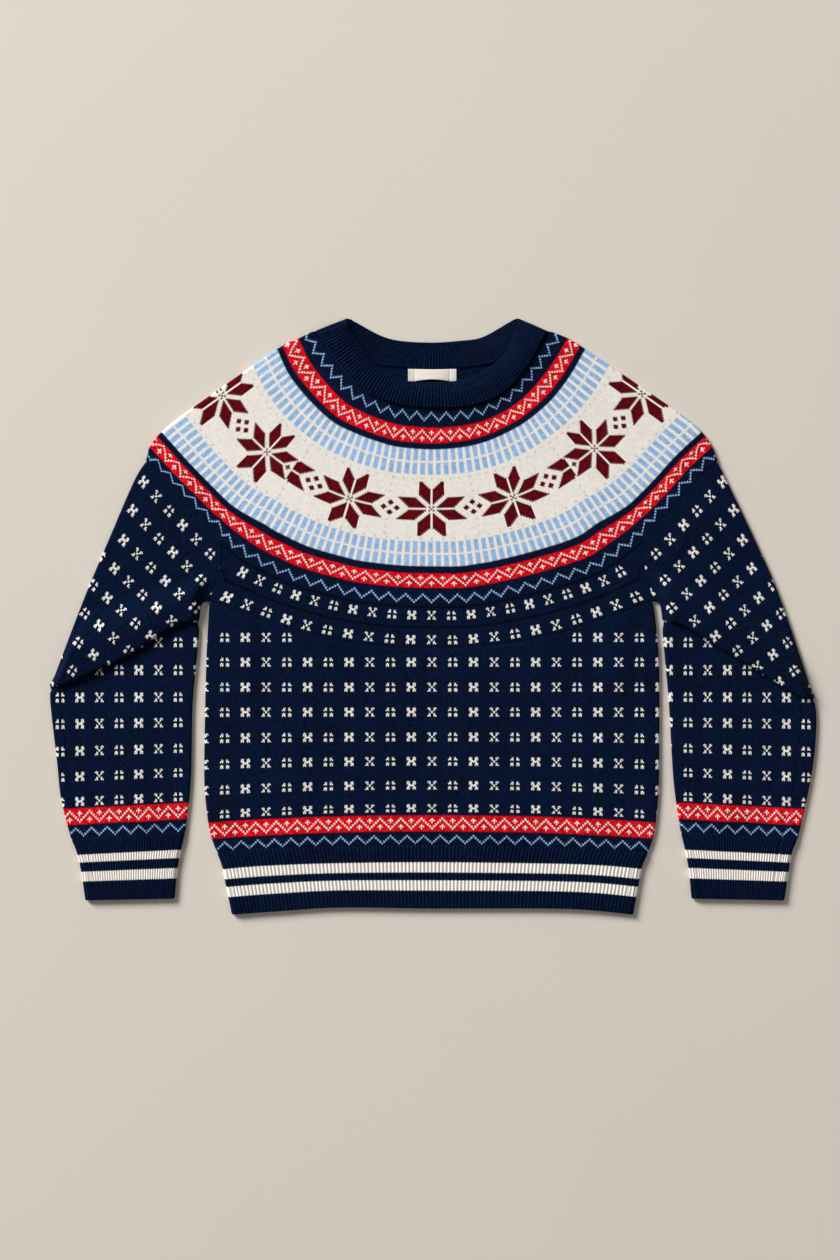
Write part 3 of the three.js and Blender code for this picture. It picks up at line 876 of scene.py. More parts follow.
@dataclass
class Chart:
    """The knitting charts, worked out from whole stitch and row counts.

    aside and above say where a point lies in its stitch, from -0.5 to 0.5.
    """

    stitch: Count
    row: Count
    aside: Count
    above: Count

    def zigzag(self, first: float, period: int, low_in_middle: bool) -> Count:
        """A one-stitch zigzag.

        Args:
            first: Its first row.
            period: Stitches in a repeat. It is half as many rows high, and one more.
            low_in_middle: Whether its low point is at the middle of a repeat.

        Returns:
            Where the zigzag is.
        """
        away = self.stitch.repeated(period).size()
        down = self.row - first
        level = (away * -1 + period / 2) if low_in_middle else away
        return down.equals(level) * down.within(-0.5, period / 2 + 0.5) * self.heart()

    def heart(self) -> Count:
        """The middle of each stitch: where one stands alone, its neighbours pull its corners in."""
        far = (self.aside * self.aside + self.above * self.above).math("SQRT")
        return (far * -8.0 + 4.6).math("MAXIMUM", 0.0).math("MINIMUM", 1.0)

    def border(self, first: float, shift: float) -> Count:
        """The white zigzag and crosses of a red border of eight rows.

        Args:
            first: The border's first row.
            shift: Stitches by which a low point leaves the middle.

        Returns:
            Where the white is.
        """
        moved = self.stitch + shift
        away = moved.repeated(10).size()
        down = self.row - first
        line = down.equals(away * -1 + 6)
        crosses = line * 0.0
        for middle, level in ((moved.repeated(10), 2), ((moved + 5).repeated(10), 5)):
            x, y = (middle + self.aside).size(), (down - level + self.above).size()
            crosses = crosses | x.math("MINIMUM", y).within(-1, 0.27) * (x | y).within(-1, 1.25)
        return (line * self.heart() | crosses) * down.within(-0.5, 7.5)

    def ticks(self, first: float) -> Count:
        """Two rows of light blue bars, two stitches wide and two apart, with a plain row between.

        Args:
            first: The first row.

        Returns:
            Where the bars are.
        """
        bars = (self.stitch + self.aside + 0.5).repeated(4).size().within(-1, 1.18)
        down = self.row - first
        return bars * (down.within(-0.5, 5.5) | down.within(6.5, 12.5))

    def stars(self, middle: float) -> Count:
        """Eight-petalled stars and groups of four diamonds along one row.

        Args:
            middle: The row that their middles are on.

        Returns:
            Where the motifs are.
        """
        up = (self.row - middle).size()
        along = self.stitch.size()
        star = along.nearest(STARS)
        shorter, longer = star.math("MINIMUM", up), star | up
        petals = shorter.within(0.5, 6.5) * (longer - shorter).within(1.5, 10.5) * up.within(-0.5, 15.5)
        heart = longer.within(-0.5, 1.5) * longer.equals(shorter)
        # The small diamonds are taken from where a point lies, as whole stitches would make them crosses
        exact, high = (self.stitch + self.aside).size(), (self.row - middle + self.above).size()
        wide = exact.nearest(DIAMONDS)
        beside = ((wide - 3.2).size() + high).within(-1, 1.7)
        above = (wide + (high - 2.8).size()).within(-1, 1.7)
        # Where two knitted parts meet near each shoulder, the join cuts a star down to two petals
        inward = along * -1 + CUT_STAR
        cut = up.within(0.5, 6.5) * (inward - up).within(1.5, 10.5) * inward.within(6.5, 20)
        core = ((along - CUT_HEART).size() + up).within(-0.5, 1.5)
        return petals | heart | beside | above | cut | core

    def flecks(self) -> Count:
        """The tiny dark holes along the joins in the cream ground.

        Returns:
            Where the holes are.
        """
        side = self.stitch.size()
        beside = self.row.nearest(JOIN_ROWS).equals(0.0) * self.stitch.repeated(5).equals(0.0)
        radial = side.nearest(JOIN_STITCHES).equals(0.0) * self.row.repeated(4).equals(0.0)
        return (beside | radial) * self.row.within(CREAM_START - 0.5, LOWER_TICKS - 0.5)

    def dots(self, offset: float, slips: float = FAR) -> Count:
        """The small scattered motifs of four blocks, some joined by a bar or a cross.

        Args:
            offset: The row, of each thirteen, that a motif's middle is on.
            slips: How many stitches left of the middle the order of the motifs slips by one.

        Returns:
            Where the motifs are.
        """
        down = self.row - offset
        up = down.repeated(MOTIF_ROWS)
        line = (down - up) * (1 / MOTIF_ROWS)
        on_upper_arm = self.row.math("LESS_THAN", UPPER_ARM / 3)
        dropped = (line * HALF_DROP + 0.25).math("FLOOR") * on_upper_arm
        stitch = self.stitch - dropped
        away = stitch.repeated(10)
        rise = up + self.above
        x, y = (away + self.aside).size(), rise.size()
        number = (stitch - away) * 0.1 - self.stitch.math("LESS_THAN", -slips)
        kind = (number + 0.1).math("FLOORED_MODULO", 3.0)
        # The dark yarn around a block draws its edges in a little
        blocks = x.within(0.68, 2.2) * y.within(0.68, 2.2) * self.above.size().within(-1, 0.42)
        crossed, plain, joined = (kind.equals(number) for number in (0.0, 1.0, 2.0))
        waist = x.within(1.5, 3) * y.within(0, 1.5) * crossed
        corners = x.within(1.5, 3) * rise.within(-3, -1.5) * plain
        middle = x.within(0, 0.5) * y.within(0, 0.5) * (crossed | joined)
        bar = x.within(0, 1.5) * y.within(0, 0.5) * joined
        return (blocks - waist - corners).math("MAXIMUM", middle | bar)


@dataclass(frozen=True)
class Knit:
    """Stocking stitch in wool: matt, soft, with a fine halo of fibres."""

    # Wool scatters the light: no gloss, and a faint pale sheen where the surface turns away
    roughness: float = 0.93
    sheen: float = 0.04
    sheen_roughness: float = 0.45
    sheen_tint: str = "#d8def0"
    specular: float = 0.06
    # How much the shade differs from stitch to stitch, over clouds of dye and in the fuzz
    stitches_differ: float = 0.8
    clouds: float = 0.55
    fuzz: float = 0.45
    # The arms of each V lean up by this share of a row from its middle to its edges
    lean: float = 0.7
    # How deep the furrows between stitches look, in mm
    relief: float = 0.42


@dataclass
class Surface:
    """A material's tree in the making: the knit's counts, its relief and its colour so far."""

    finish: Knit
    material: Material = field(init=False)
    colour: Socket | None = field(default=None, init=False)
    name: str = "knit"

    def __post_init__(self) -> None:
        """Starts the tree and works out the stitch that each point lies in."""
        self.material, self.tree = blank_finish(self.name)
        tree = self.tree
        knit = add_node(tree, "ShaderNodeUVMap", uv_map="Knit")
        split = add_node(tree, "ShaderNodeSeparateXYZ", [knit], "X").node
        across = Count(tree, split.outputs["X"])
        down = Count(tree, split.outputs["Y"])
        self.across, self.down = across, down
        self.shade = down * 0.0 + 1.0
        self.even = down * 0.0
        arms = (across.math("FRACT") - 0.5).size() * 2.0
        leaning = down + (arms - 0.5) * self.finish.lean
        self.chart = Chart(across.math("FLOOR"), leaning.math("FLOOR"), across.math("FRACT") - 0.5,
                           leaning.math("FRACT") - 0.5)
        strand = (leaning.math("FRACT") * 2.0 - 1.0).math("POWER", 2.0) * -1 + 1.0
        furrow = (arms * 2.0 - 1.0).math("POWER", 2.0) * -1 + 1.0
        self.height = strand * 0.55 + furrow * 0.45

    def dye(self, yarn: Yarn, where: Count | None = None) -> None:
        """Colours the knit with a yarn.

        Args:
            yarn: The yarn.
            where: A mask of the stitches that it makes, or None for all.
        """
        if where is None or self.colour is None:
            self.colour = add_node(self.tree, "ShaderNodeRGB")
            self.colour.default_value = yarn.colour
            return
        self.even = self.even * (where * -1 + 1.0) + where * yarn.even
        inputs = {0: where.socket, 6: self.colour, 7: yarn.colour}
        self.colour = add_node(self.tree, "ShaderNodeMix", inputs, 2, data_type="RGBA")

    def groove(self, at: float, width: float) -> None:
        """A furrow along one row, such as a join between two stretches of knitting, with painted shade in it.

        Args:
            at: The row.
            width: Half the furrow's width, in rows.
        """
        away = (self.down - at).size() * (1 / width)
        trough = away.math("MINIMUM", 1.0)
        self.height = self.height * trough
        # Painted shade: the colour is darkened in the furrow, where less light falls
        self.shade = self.shade * (trough * 0.72 + 0.28)

    def speckle(self, where: Count) -> None:
        """Darkens the furrows of the stitches where a mask is 1."""
        self.shade = self.shade * (where * (self.height * -1 + 1.0) * -0.8 + 1.0)

    def furrows(self) -> None:
        """Paints shade into the furrow between each two ribs, where little light gets in, and paints the
        ridges a little lighter.
        """
        beside = ((self.across * 0.5).math("FRACT") - 0.5).size() * 2.0
        deep = beside.math("POWER", 2.5)
        # Painted shade in the furrows, down to about a quarter, and painted light on the ridges, a little
        # over the yarn's own colour
        self.shade = self.shade * (deep * -0.85 + 1.12)
        self.height = self.height * 0.5 + beside * -0.9 + 0.9

    def close(self, relief: float | None = None) -> Material:
        """Adds the wool's unevenness, its relief, the painted light and shade of that relief, and the shader.

        Args:
            relief: How deep the furrows look, in mm, or None for the finish's own.

        Returns:
            The material.
        """
        tree = self.tree
        finish = self.finish
        # Each stitch takes a slightly different shade, as spun wool does
        cell = add_node(tree, "ShaderNodeCombineXYZ", [self.chart.stitch.socket, self.chart.row.socket])
        speck = Count(tree, add_node(tree, "ShaderNodeTexWhiteNoise", [cell], noise_dimensions="3D"))
        place = add_node(tree, "ShaderNodeTexCoord", output="Object")
        # Clouds about 70 mm across, and fuzz about 1 mm across: coarser than real fibres so that it shows
        cloudy, fibre = (
            Count(tree, add_node(tree, "ShaderNodeTexNoise",
                                 {"Vector": place, "Scale": scale, "Detail": detail}))
            for scale, detail in ((14.0, 3.0), (900.0, 2.0))
        )
        even = self.even * -1.0 + 1.0
        wool = (speck - 0.5) * finish.stitches_differ + (cloudy - 0.5) * finish.clouds
        wool = wool + (fibre - 0.5) * finish.fuzz
        # Painted light and shade: each stitch's raised strands are painted lighter and the furrows between
        # them darker, on top of the wool's random tone
        tone = (wool * even + 1.0) * ((self.height - 0.6) * 0.75 * even + 1.0)
        tone = tone * self.shade
        shaded = add_node(tree, "ShaderNodeMix", {0: 1.0, 6: self.colour, 7: tone.socket}, 2,
                          data_type="RGBA", blend_type="MULTIPLY")
        height = self.height + fibre * 0.35
        bump = add_node(tree, "ShaderNodeBump", {
            "Strength": 0.8, "Distance": (relief or finish.relief) * MM, "Height": height.socket})
        shader = add_node(tree, "ShaderNodeBsdfPrincipled", {
            "Base Color": shaded, "Roughness": finish.roughness, "Normal": bump,
            "Specular IOR Level": finish.specular, "Sheen Weight": finish.sheen,
            "Sheen Roughness": finish.sheen_roughness, "Sheen Tint": linear(finish.sheen_tint)})
        add_node(tree, "ShaderNodeOutputMaterial", {"Surface": shader})
        return self.material


def wool_fibre() -> Material:
    """Single wool fibres: a soft blue-grey haze where the light catches them.

    Returns:
        The material, which all fibres share.
    """
    name = "wool fibres, loose"
    if name in bpy.data.materials:
        return bpy.data.materials[name]
    return thread_finish(name, FIBRE)


# Row counts of the yoke's bands, from the neck seam down
UPPER_ZIGZAG = 2
UPPER_BORDER = 10
UPPER_TICKS = 21
CREAM_START = 34
STAR_ROW = 53
LOWER_TICKS = 72
CREAM_END = 85
LOWER_BORDER = 89
LOWER_ZIGZAG = 100
# The row, of each thirteen, that a scattered motif's middle is on
YOKE_DOTS = 7
PLAIN_DOTS = 6
# The furrows in the yoke's foot, and their width in rows
YOKE_JOINS = (107.2, 118.0)
JOIN_WIDTH = 0.9
# The motifs in the yoke's foot reach this many stitches from the middle
DOTS_REACH = 106


def yoke_finish() -> Material:
    """The yoke's knit: borders, ticks, stars, zigzags and, at its foot, the first scattered motifs.

    Returns:
        The material.
    """
    # Two yarns a row, so the motifs are flat and crisp while the stitches still give a fine grain
    knit = Surface(Knit(), name="stranded wool knit, yoke")
    chart = knit.chart
    row = chart.row
    knit.dye(NAVY)
    knit.dye(CREAM, row.within(UPPER_TICKS - 0.5, CREAM_END - 0.5))
    for border in (UPPER_BORDER, LOWER_BORDER):
        knit.dye(RED, row.within(border - 0.5, border + 7.5))
    knit.dye(WHITE, chart.border(UPPER_BORDER, 0) | chart.border(LOWER_BORDER, 5))
    blue = chart.zigzag(UPPER_ZIGZAG, 8, False) | chart.zigzag(LOWER_ZIGZAG, 8, True)
    knit.dye(SKY, blue)
    knit.dye(SKY, chart.ticks(UPPER_TICKS) | chart.ticks(LOWER_TICKS))
    knit.dye(BURGUNDY, chart.stars(STAR_ROW) * row.within(CREAM_START - 0.5, LOWER_TICKS - 0.5))
    foot = chart.stitch.size().within(-1, DOTS_REACH) * row.within(LOWER_ZIGZAG + 7.5, FAR)
    knit.dye(WHITE, chart.dots(YOKE_DOTS) * foot)
    knit.speckle(chart.flecks())
    for join in YOKE_JOINS:
        knit.groove(join, JOIN_WIDTH)
    return knit.close()


def plain_finish(
    name: str,
    dots_end: float,
    border: float,
    zigzag: float,
    starts: Sequence[tuple[float, float]] = (),
    slips: float = FAR,
) -> Material:
    """The knit of body and sleeves: scattered motifs, then a red border and a zigzag.

    Args:
        name: The material's name.
        dots_end: The row where the motifs end.
        starts: For the first rows, which the yoke's curve cuts into: the row where each ends, and how
            many stitches from the middle its motifs start.
        slips: How many stitches left of the middle the order of the motifs slips by one.
        border: The red border's first row.
        zigzag: The zigzag's first row.

    Returns:
        The material.
    """
    # The dark ground swallows the light, so the white motifs stand out like beads
    knit = Surface(Knit(), name=name)
    chart = knit.chart
    knit.dye(NAVY)
    shown = chart.row.within(-FAR, FAR)
    for end, first in starts:
        shown = shown * (chart.row.within(end, FAR) | chart.stitch.size().within(first, FAR))
    knit.dye(WHITE, chart.dots(PLAIN_DOTS, slips) * shown * chart.row.within(UPPER_ARM - 40, dots_end))
    knit.dye(RED, chart.row.within(border - 0.5, border + 7.5))
    knit.dye(WHITE, chart.border(border, 0))
    knit.dye(SKY, chart.zigzag(zigzag, 8, True))
    return knit.close()


def rib_finish(name: str, stripes: Sequence[tuple[float, float]]) -> Material:
    """Single rib in navy wool, with cream stripes between the given rows.

    Args:
        name: The material's name.
        stripes: First and last row of each stripe.

    Returns:
        The material.
    """
    # Ridges that catch the light between furrows that are nearly black
    knit = Surface(Knit(lean=0.5), name=name)
    knit.dye(NAVY)
    for first, last in stripes:
        knit.dye(CREAM, knit.chart.row.within(first - 0.5, last + 0.5))
    knit.furrows()
    return knit.close(0.3)


# Stitches and fibres


class NodeBuilder:
    """A Geometry Nodes tree with named inputs, put on an object and made a plain mesh."""

    def __init__(self, name: str, sizes: dict[str, float]) -> None:
        """Starts the tree.

        Args:
            name: The tree's name.
            sizes: Its named number inputs and their values.
        """
        self.sizes = sizes
        tree = self.tree = bpy.data.node_groups.new(name, "GeometryNodeTree")
        face = tree.interface
        face.new_socket("Geometry", in_out="INPUT", socket_type="NodeSocketGeometry")
        for size in sizes:
            face.new_socket(size, in_out="INPUT", socket_type="NodeSocketFloat")
        face.new_socket("Finish", in_out="INPUT", socket_type="NodeSocketMaterial")
        face.new_socket("Geometry", in_out="OUTPUT", socket_type="NodeSocketGeometry")
        self.given = tree.nodes.new("NodeGroupInput").outputs

    def finish(self, instances: Socket) -> None:
        """Ends the tree: instances made real, with their material.

        Args:
            instances: The instances.
        """
        real = add_node(self.tree, "GeometryNodeRealizeInstances", [instances])
        dressed = add_node(self.tree, "GeometryNodeSetMaterial",
                           {"Geometry": real, "Material": self.given["Finish"]})
        add_node(self.tree, "NodeGroupOutput", {"Geometry": dressed})

    def applied(self, name: str, base: bpy.types.Mesh, material: Material) -> Piece:
        """Runs the tree on a mesh.

        Args:
            name: The new object's name.
            base: The mesh that it runs on.
            material: The finish.

        Returns:
            An object with a plain mesh, riding on the jumper.
        """
        carrier = in_scene(name + "_base", base)
        modifier = carrier.modifiers.new(name, "NODES")
        modifier.node_group = self.tree
        for item in self.tree.interface.items_tree:
            if item.in_out == "INPUT" and item.name in self.sizes:
                modifier[item.identifier] = self.sizes[item.name]
            elif item.in_out == "INPUT" and item.name == "Finish":
                modifier[item.identifier] = material
        seen = carrier.evaluated_get(bpy.context.evaluated_depsgraph_get())
        made = bpy.data.meshes.new_from_object(seen)
        made.name = name
        bpy.data.objects.remove(carrier)
        if not made.materials:
            made.materials.append(material)
        piece = in_scene(name, made)
        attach(piece, "root")
        log.info("%s: %d faces", name, len(made.polygons))
        return piece


@dataclass(frozen=True)
class Stitches:
    """Straight stitches along a line, in mm."""

    every: float
    length: float
    radius: float

    def sewn(self, name: str, line: Array, finish: Material) -> Piece:
        """Sews along a line.

        Args:
            name: The object's name.
            line: Its points.
            finish: The thread.

        Returns:
            The stitches as one object.
        """
        sizes = {"Every": self.every * MM, "Length": self.length * MM, "Radius": self.radius * MM}
        nodes = NodeBuilder(name, sizes)
        tree, given = nodes.tree, nodes.given
        path = add_node(tree, "GeometryNodeMeshToCurve", [given["Geometry"]])
        spaced = add_node(tree, "GeometryNodeResampleCurve", {"Curve": path, "Length": given["Every"]},
                          mode="LENGTH")
        turned = add_node(tree, "FunctionNodeAlignRotationToVector",
                          {"Vector": add_node(tree, "GeometryNodeInputTangent")}, axis="X")
        end, start = (
            add_node(tree, "ShaderNodeCombineXYZ",
                     [add_node(tree, "ShaderNodeMath", [given["Length"], share], operation="MULTIPLY")])
            for share in (0.5, -0.5)
        )
        arch = add_node(tree, "ShaderNodeCombineXYZ", [0.0, 0.0, given["Radius"]])
        bow = add_node(tree, "GeometryNodeCurvePrimitiveBezierSegment", {
            "Resolution": 4, "Start": start, "Start Handle": arch, "End Handle": arch, "End": end})
        ring = add_node(tree, "GeometryNodeCurvePrimitiveCircle",
                        {"Resolution": 6, "Radius": given["Radius"]})
        stitch = add_node(tree, "GeometryNodeCurveToMesh",
                          {"Curve": bow, "Profile Curve": ring, "Fill Caps": True})
        placed = add_node(tree, "GeometryNodeInstanceOnPoints",
                          {"Points": spaced, "Instance": stitch, "Rotation": turned})
        nodes.finish(placed)
        base = bpy.data.meshes.new(name + "_line")
        steps = [(i, i + 1) for i in range(len(line) - 1)]
        base.from_pydata((np.asarray(line) * MM).tolist(), steps, [])
        return nodes.applied(name, base, finish)


@dataclass(frozen=True)
class Fuzz:
    """Loose wool fibres on a knit, in mm. They are thicker than real ones so that they show."""

    number: int = 2600
    length: float = 2.6
    radius: float = 0.055
    seed: int = 7
    # They grow only where the surface's normal looks up by at least this share
    looks_up: float = 0.75

    def grown(
        self, name: str, cloth: bpy.types.Mesh, area: float, finish: Material
    ) -> Piece:
        """Spreads fibres over a piece.

        Args:
            name: The object's name.
            cloth: The piece's mesh.
            area: The area of its surface in square metres.
            finish: The fibres' material.

        Returns:
            The fibres as one object.
        """
        sizes = {"Density": self.number / area, "Length": self.length * MM, "Radius": self.radius * MM}
        nodes = NodeBuilder(name, sizes)
        tree, given = nodes.tree, nodes.given
        # Only on faces that look up: under the jumper fibres would reach into the surface
        way = add_node(tree, "ShaderNodeSeparateXYZ", [add_node(tree, "GeometryNodeInputNormal")], "Z")
        above = add_node(tree, "FunctionNodeCompare", {0: way, 1: self.looks_up}, data_type="FLOAT",
                         operation="GREATER_THAN")
        spots = add_node(tree, "GeometryNodeDistributePointsOnFaces", {
            "Mesh": given["Geometry"], "Selection": above, "Density": given["Density"],
            "Seed": self.seed}).node
        # A fibre of length 1, which leaves the cloth and bends over
        bow = add_node(tree, "GeometryNodeCurvePrimitiveBezierSegment", {
            "Resolution": 3, "Start": (0, 0, 0), "Start Handle": (0.05, 0, 0.3),
            "End Handle": (0.4, 0.1, 0.55), "End": (0.85, -0.1, 0.42)})
        thin = add_node(tree, "ShaderNodeMath", [given["Radius"], given["Length"]], operation="DIVIDE")
        ring = add_node(tree, "GeometryNodeCurvePrimitiveCircle", {"Resolution": 3, "Radius": thin})
        fibre = add_node(tree, "GeometryNodeCurveToMesh", {"Curve": bow, "Profile Curve": ring})
        turn, longer = (
            add_node(tree, "FunctionNodeRandomValue", {2: low, 3: high, "Seed": self.seed + step}, 1,
                     data_type="FLOAT")
            for step, low, high in ((1, 0.0, 6.283), (2, 0.5, 1.3))
        )
        about = add_node(tree, "ShaderNodeCombineXYZ", [0.0, 0.0, turn])
        spun = add_node(tree, "FunctionNodeRotateRotation",
                        {"Rotation": spots.outputs["Rotation"],
                         "Rotate By": add_node(tree, "FunctionNodeEulerToRotation", [about])},
                        rotation_space="LOCAL")
        scaled = add_node(tree, "ShaderNodeMath", [longer, given["Length"]], operation="MULTIPLY")
        placed = add_node(tree, "GeometryNodeInstanceOnPoints", {
            "Points": spots.outputs["Points"], "Instance": fibre, "Rotation": spun, "Scale": scaled})
        nodes.finish(placed)
        return nodes.applied(name, cloth.copy(), finish)


# The front of the yoke


# Lines that the yoke's bands follow, from left fold to right fold, as (x, y)
UPPER_BORDER_LINE = [
    (-157, 307), (-146, 281), (-127, 255), (-104, 232), (-82, 220), (-59, 211), (-37, 205), (-2, 202),
    (30, 204), (53, 209), (75, 218), (97, 231), (120, 252), (138, 278), (152, 307),
]
STAR_LINE = [
    (-235, 255), (-213, 218), (-187, 188), (-140, 155), (-94, 134), (-48, 124), (-2, 122), (41, 124),
    (86, 134), (131, 155), (177, 188), (205, 218), (230, 255),
]
LOWER_BORDER_LINE = [
    (-308, 197), (-283, 167), (-261, 143), (-230, 112), (-194, 86), (-171, 74), (-149, 64), (-127, 57),
    (-104, 51), (-82, 46), (-37, 41), (-2, 40), (30, 40), (53, 43), (75, 47), (120, 58), (165, 72),
    (187, 85), (223, 111), (254, 142), (279, 171), (306, 197),
]
# Where each radial line of stitches crosses them, as a share of the way from the middle to the fold
RADIALS = [0, 0.5, 1, 1.5, 2, 2.5, 3]
CROSSINGS = {
    "neck": [0, 0.208, 0.374, 0.536, 0.69, 0.83, 1],
    "upper_border": [0, 0.181, 0.343, 0.515, 0.683, 0.825, 1],
    "stars": [0, 0.166, 0.327, 0.519, 0.708, 0.85, 1],
    "lower_border": [0, 0.161, 0.328, 0.531, 0.738, 0.88, 1],
    "outer": [0, 0.152, 0.314, 0.517, 0.810, 0.925, 1],
}
# The middle of the jumper, where the patterns are centred
MIDDLE = -1.7
# Row counts and heights at the middle of the front
FRONT_ROWS = [
    (0, 233.0), (2, 228.5), (7, 217.3), (10, 210.5), (18, 193.0), (21, 186.0), (34, 158.0), (72, 83.4),
    (85, 55.7), (89, 47.6), (93, 39.8),
]
ROW_HEIGHT = 2.1

# The yoke's foot starts on the middle row of the lower border. The border ends at the second count, and
# the zigzag reaches from the third to the fourth
FOOT_COUNTS = (93, 97, 100, 106)
# How far below its start the border ends, the zigzag starts and the zigzag ends, in mm
BORDER_DOWN = 8.4
ZIGZAG_DOWN = 14.7
FOOT_DEPTH = 27.4
ZIGZAG_DEPTH = 12.7
# Where the seam comes close, the plain rows give way by this much at most, and this much is left below
PLAIN_GIVES = 4.6
FOOT_LEAVES = 1.2
# The yoke's last row
LAST_COUNT = 129


@dataclass
class YokeLines:
    """The front yoke's rows and radial lines of stitches, on the lines that its bands follow."""

    neck: Path
    outer: Path
    names: Sequence[str] = ("neck", "upper_border", "stars", "lower_border", "outer")

    def __post_init__(self) -> None:
        """Finds each line's middle."""
        self.paths = [self.neck, Path.through(UPPER_BORDER_LINE), Path.through(STAR_LINE),
                      Path.through(LOWER_BORDER_LINE), self.outer]
        self.middles = []
        for path in self.paths:
            near = np.argmin(np.abs(path.points[:, 0] - MIDDLE))
            self.middles.append(path.fractions[near])
        self.heights = np.array([path.at(middle)[1] for path, middle in zip(self.paths, self.middles)])
        self.shoulders = [Path.side(SHOULDERS, 1), Path.side(SHOULDERS, 2)]

    def line(self, index: int, u: Array) -> Array:
        """Points of one line where the radial lines cross it.

        Args:
            index: The line's number.
            u: Places from the left fold, 0, to the right one, 1.

        Returns:
            The points.
        """
        radial = 6 * np.asarray(u, float) - 3
        share = np.interp(np.abs(radial), RADIALS, CROSSINGS[self.names[index]])
        middle = self.middles[index]
        fraction = np.where(radial < 0, middle - share * middle, middle + share * (1 - middle))
        return self.paths[index].at(fraction)

    def place(self, u: Array, height: float) -> Array:
        """Points of a row between the neck and the lower border.

        Args:
            u: Places from the left fold to the right one.
            height: The row's y at the middle of the front.

        Returns:
            The points.
        """
        lines = np.stack([self.line(k, u) for k in range(len(self.paths))])
        levels = -self.heights
        slopes = np.gradient(lines, levels, axis=0)
        k = int(np.clip(np.searchsorted(levels, -height) - 1, 0, len(levels) - 2))
        step = levels[k + 1] - levels[k]
        t = (-height - levels[k]) / step
        start, end = lines[k], lines[k + 1]
        leave, arrive = slopes[k] * step, slopes[k + 1] * step
        cubic = 2 * t**3 - 3 * t**2
        row = (cubic + 1) * start + (t**3 - 2 * t**2 + t) * leave - cubic * end + (t**3 - t**2) * arrive
        return self.to_folds(u, row)

    def to_folds(self, u: Array, row: Array) -> Array:
        """Draws a row's two ends on to the shoulder folds.

        Args:
            u: Places from the left fold, 0, to the right one, 1.
            row: The row's points.

        Returns:
            The points, with their ends moved.
        """
        ends = row[[int(np.argmin(u)), int(np.argmax(u))]]
        moved = row.copy()
        for end, fold, share in zip(ends, self.shoulders, (1 - 5 * u, 5 * u - 4)):
            x = np.interp(-end[1], -fold.points[:, 1], fold.points[:, 0])
            moved[:, 0] += (x - end[0]) * np.clip(share, 0, 1) ** 2
        return moved


def yoke_outer() -> Path:
    """The yoke's outer seam: sleeve, armhole, body, armhole and sleeve, from left to right.

    Returns:
        The seam as one line.
    """
    left, right = SLEEVES["left"], SLEEVES["right"]
    return Path.joined(
        Path.through(away(left.yoke_seam)).chords(YOKE_SEAM_CHORDS),
        Path.through(away(left.armhole)).chords(ARMHOLE_CHORDS),
        Path.through(BODY_SEAM).chords(BODY_CHORDS),
        Path.through(right.armhole).chords(ARMHOLE_CHORDS).back(),
        Path.through(right.yoke_seam).chords(YOKE_SEAM_CHORDS).back(),
    )


def away(points: Points) -> list[tuple[float, float]]:
    """Points given by their distance from the middle, on the left side."""
    return [(-x, y) for x, y in points]


@dataclass(frozen=True)
class SleeveCut:
    """A sleeve's seams, folds and ends, as (distance from the middle of the body, y)."""

    yoke_seam: Points
    armhole: Points
    outer_upper: Points
    outer_lower: Points
    inner_upper: Points
    inner_lower: Points
    elbow: Points
    cuff_seam: Points
    cuff_outer: Points
    cuff_inner: Points
    cuff_edge: Points


SLEEVES = {
    "left": SleeveCut(
        yoke_seam=[(320, 174), (302, 157), (281, 133), (258, 109), (236, 87)],
        armhole=[(236, 87), (237, 55), (243, 39), (250, 16)],
        outer_upper=[(320, 174), (334, 152), (363, 85), (391, 18), (428, -80)],
        outer_lower=[(428, -80), (428, -100), (421, -161), (416, -206), (405, -249)],
        inner_upper=[(250, 16), (257, 15), (261, 7), (262, -5)],
        inner_lower=[(262, -5), (262, -20), (265, -55), (269, -100), (271, -184), (277, -241)],
        elbow=[(428, -80), (402, -71), (363, -54), (334, -38), (297, -14), (280, -6), (262, -5)],
        cuff_seam=[(405, -249), (277, -241)],
        cuff_outer=[(405, -249), (399, -263), (394, -284), (389, -318)],
        cuff_inner=[(277, -241), (282, -262), (286, -284), (289, -316)],
        cuff_edge=[(389, -318), (339, -317), (289, -316)],
    ),
    "right": SleeveCut(
        yoke_seam=[(317, 174), (299, 157), (278, 133), (255, 109), (234, 87)],
        armhole=[(234, 87), (235, 55), (241, 39), (246, 16)],
        outer_upper=[(317, 174), (328, 152), (360, 85), (389, 18), (426, -92)],
        outer_lower=[(426, -92), (429, -116), (426, -161), (418, -206), (408, -249)],
        inner_upper=[(246, 16), (252, 15), (256, 7), (257, -5)],
        inner_lower=[(257, -5), (257, -20), (260, -55), (264, -100), (269, -184), (277, -241)],
        elbow=[(426, -92), (403, -85), (372, -66), (327, -38), (290, -15), (275, -7), (257, -5)],
        cuff_seam=[(408, -249), (277, -241)],
        cuff_outer=[(408, -249), (402, -263), (398, -284), (393, -318)],
        cuff_inner=[(277, -241), (282, -262), (286, -284), (289, -316)],
        cuff_edge=[(393, -318), (341, -317), (289, -316)],
    ),
}


def measured(points: Array) -> Array:
    """The run along a row of points from where it crosses the jumper's middle."""
    run = np.concatenate([[0], np.cumsum(np.linalg.norm(np.diff(points, axis=0), axis=1))])
    return run - np.interp(MIDDLE, points[:, 0], run)


# Stitch widths of the yoke's bands: last row, then mm a stitch. The stars' band is listed on its own
BAND_STITCHES = [(9, 2.04), (19.5, 2.11), (34, 2.11), (72, 0), (87, 2.2), (98.5, 2.5), (106, 2.42)]
FOOT_STITCH = 2.30
# Distance from the middle along the stars' line, and the stitch count there
STAR_STITCHES = [(0, 0), (93, 40), (132, 57), (167, 72), (200, 88), (281, 128), (300, 137)]


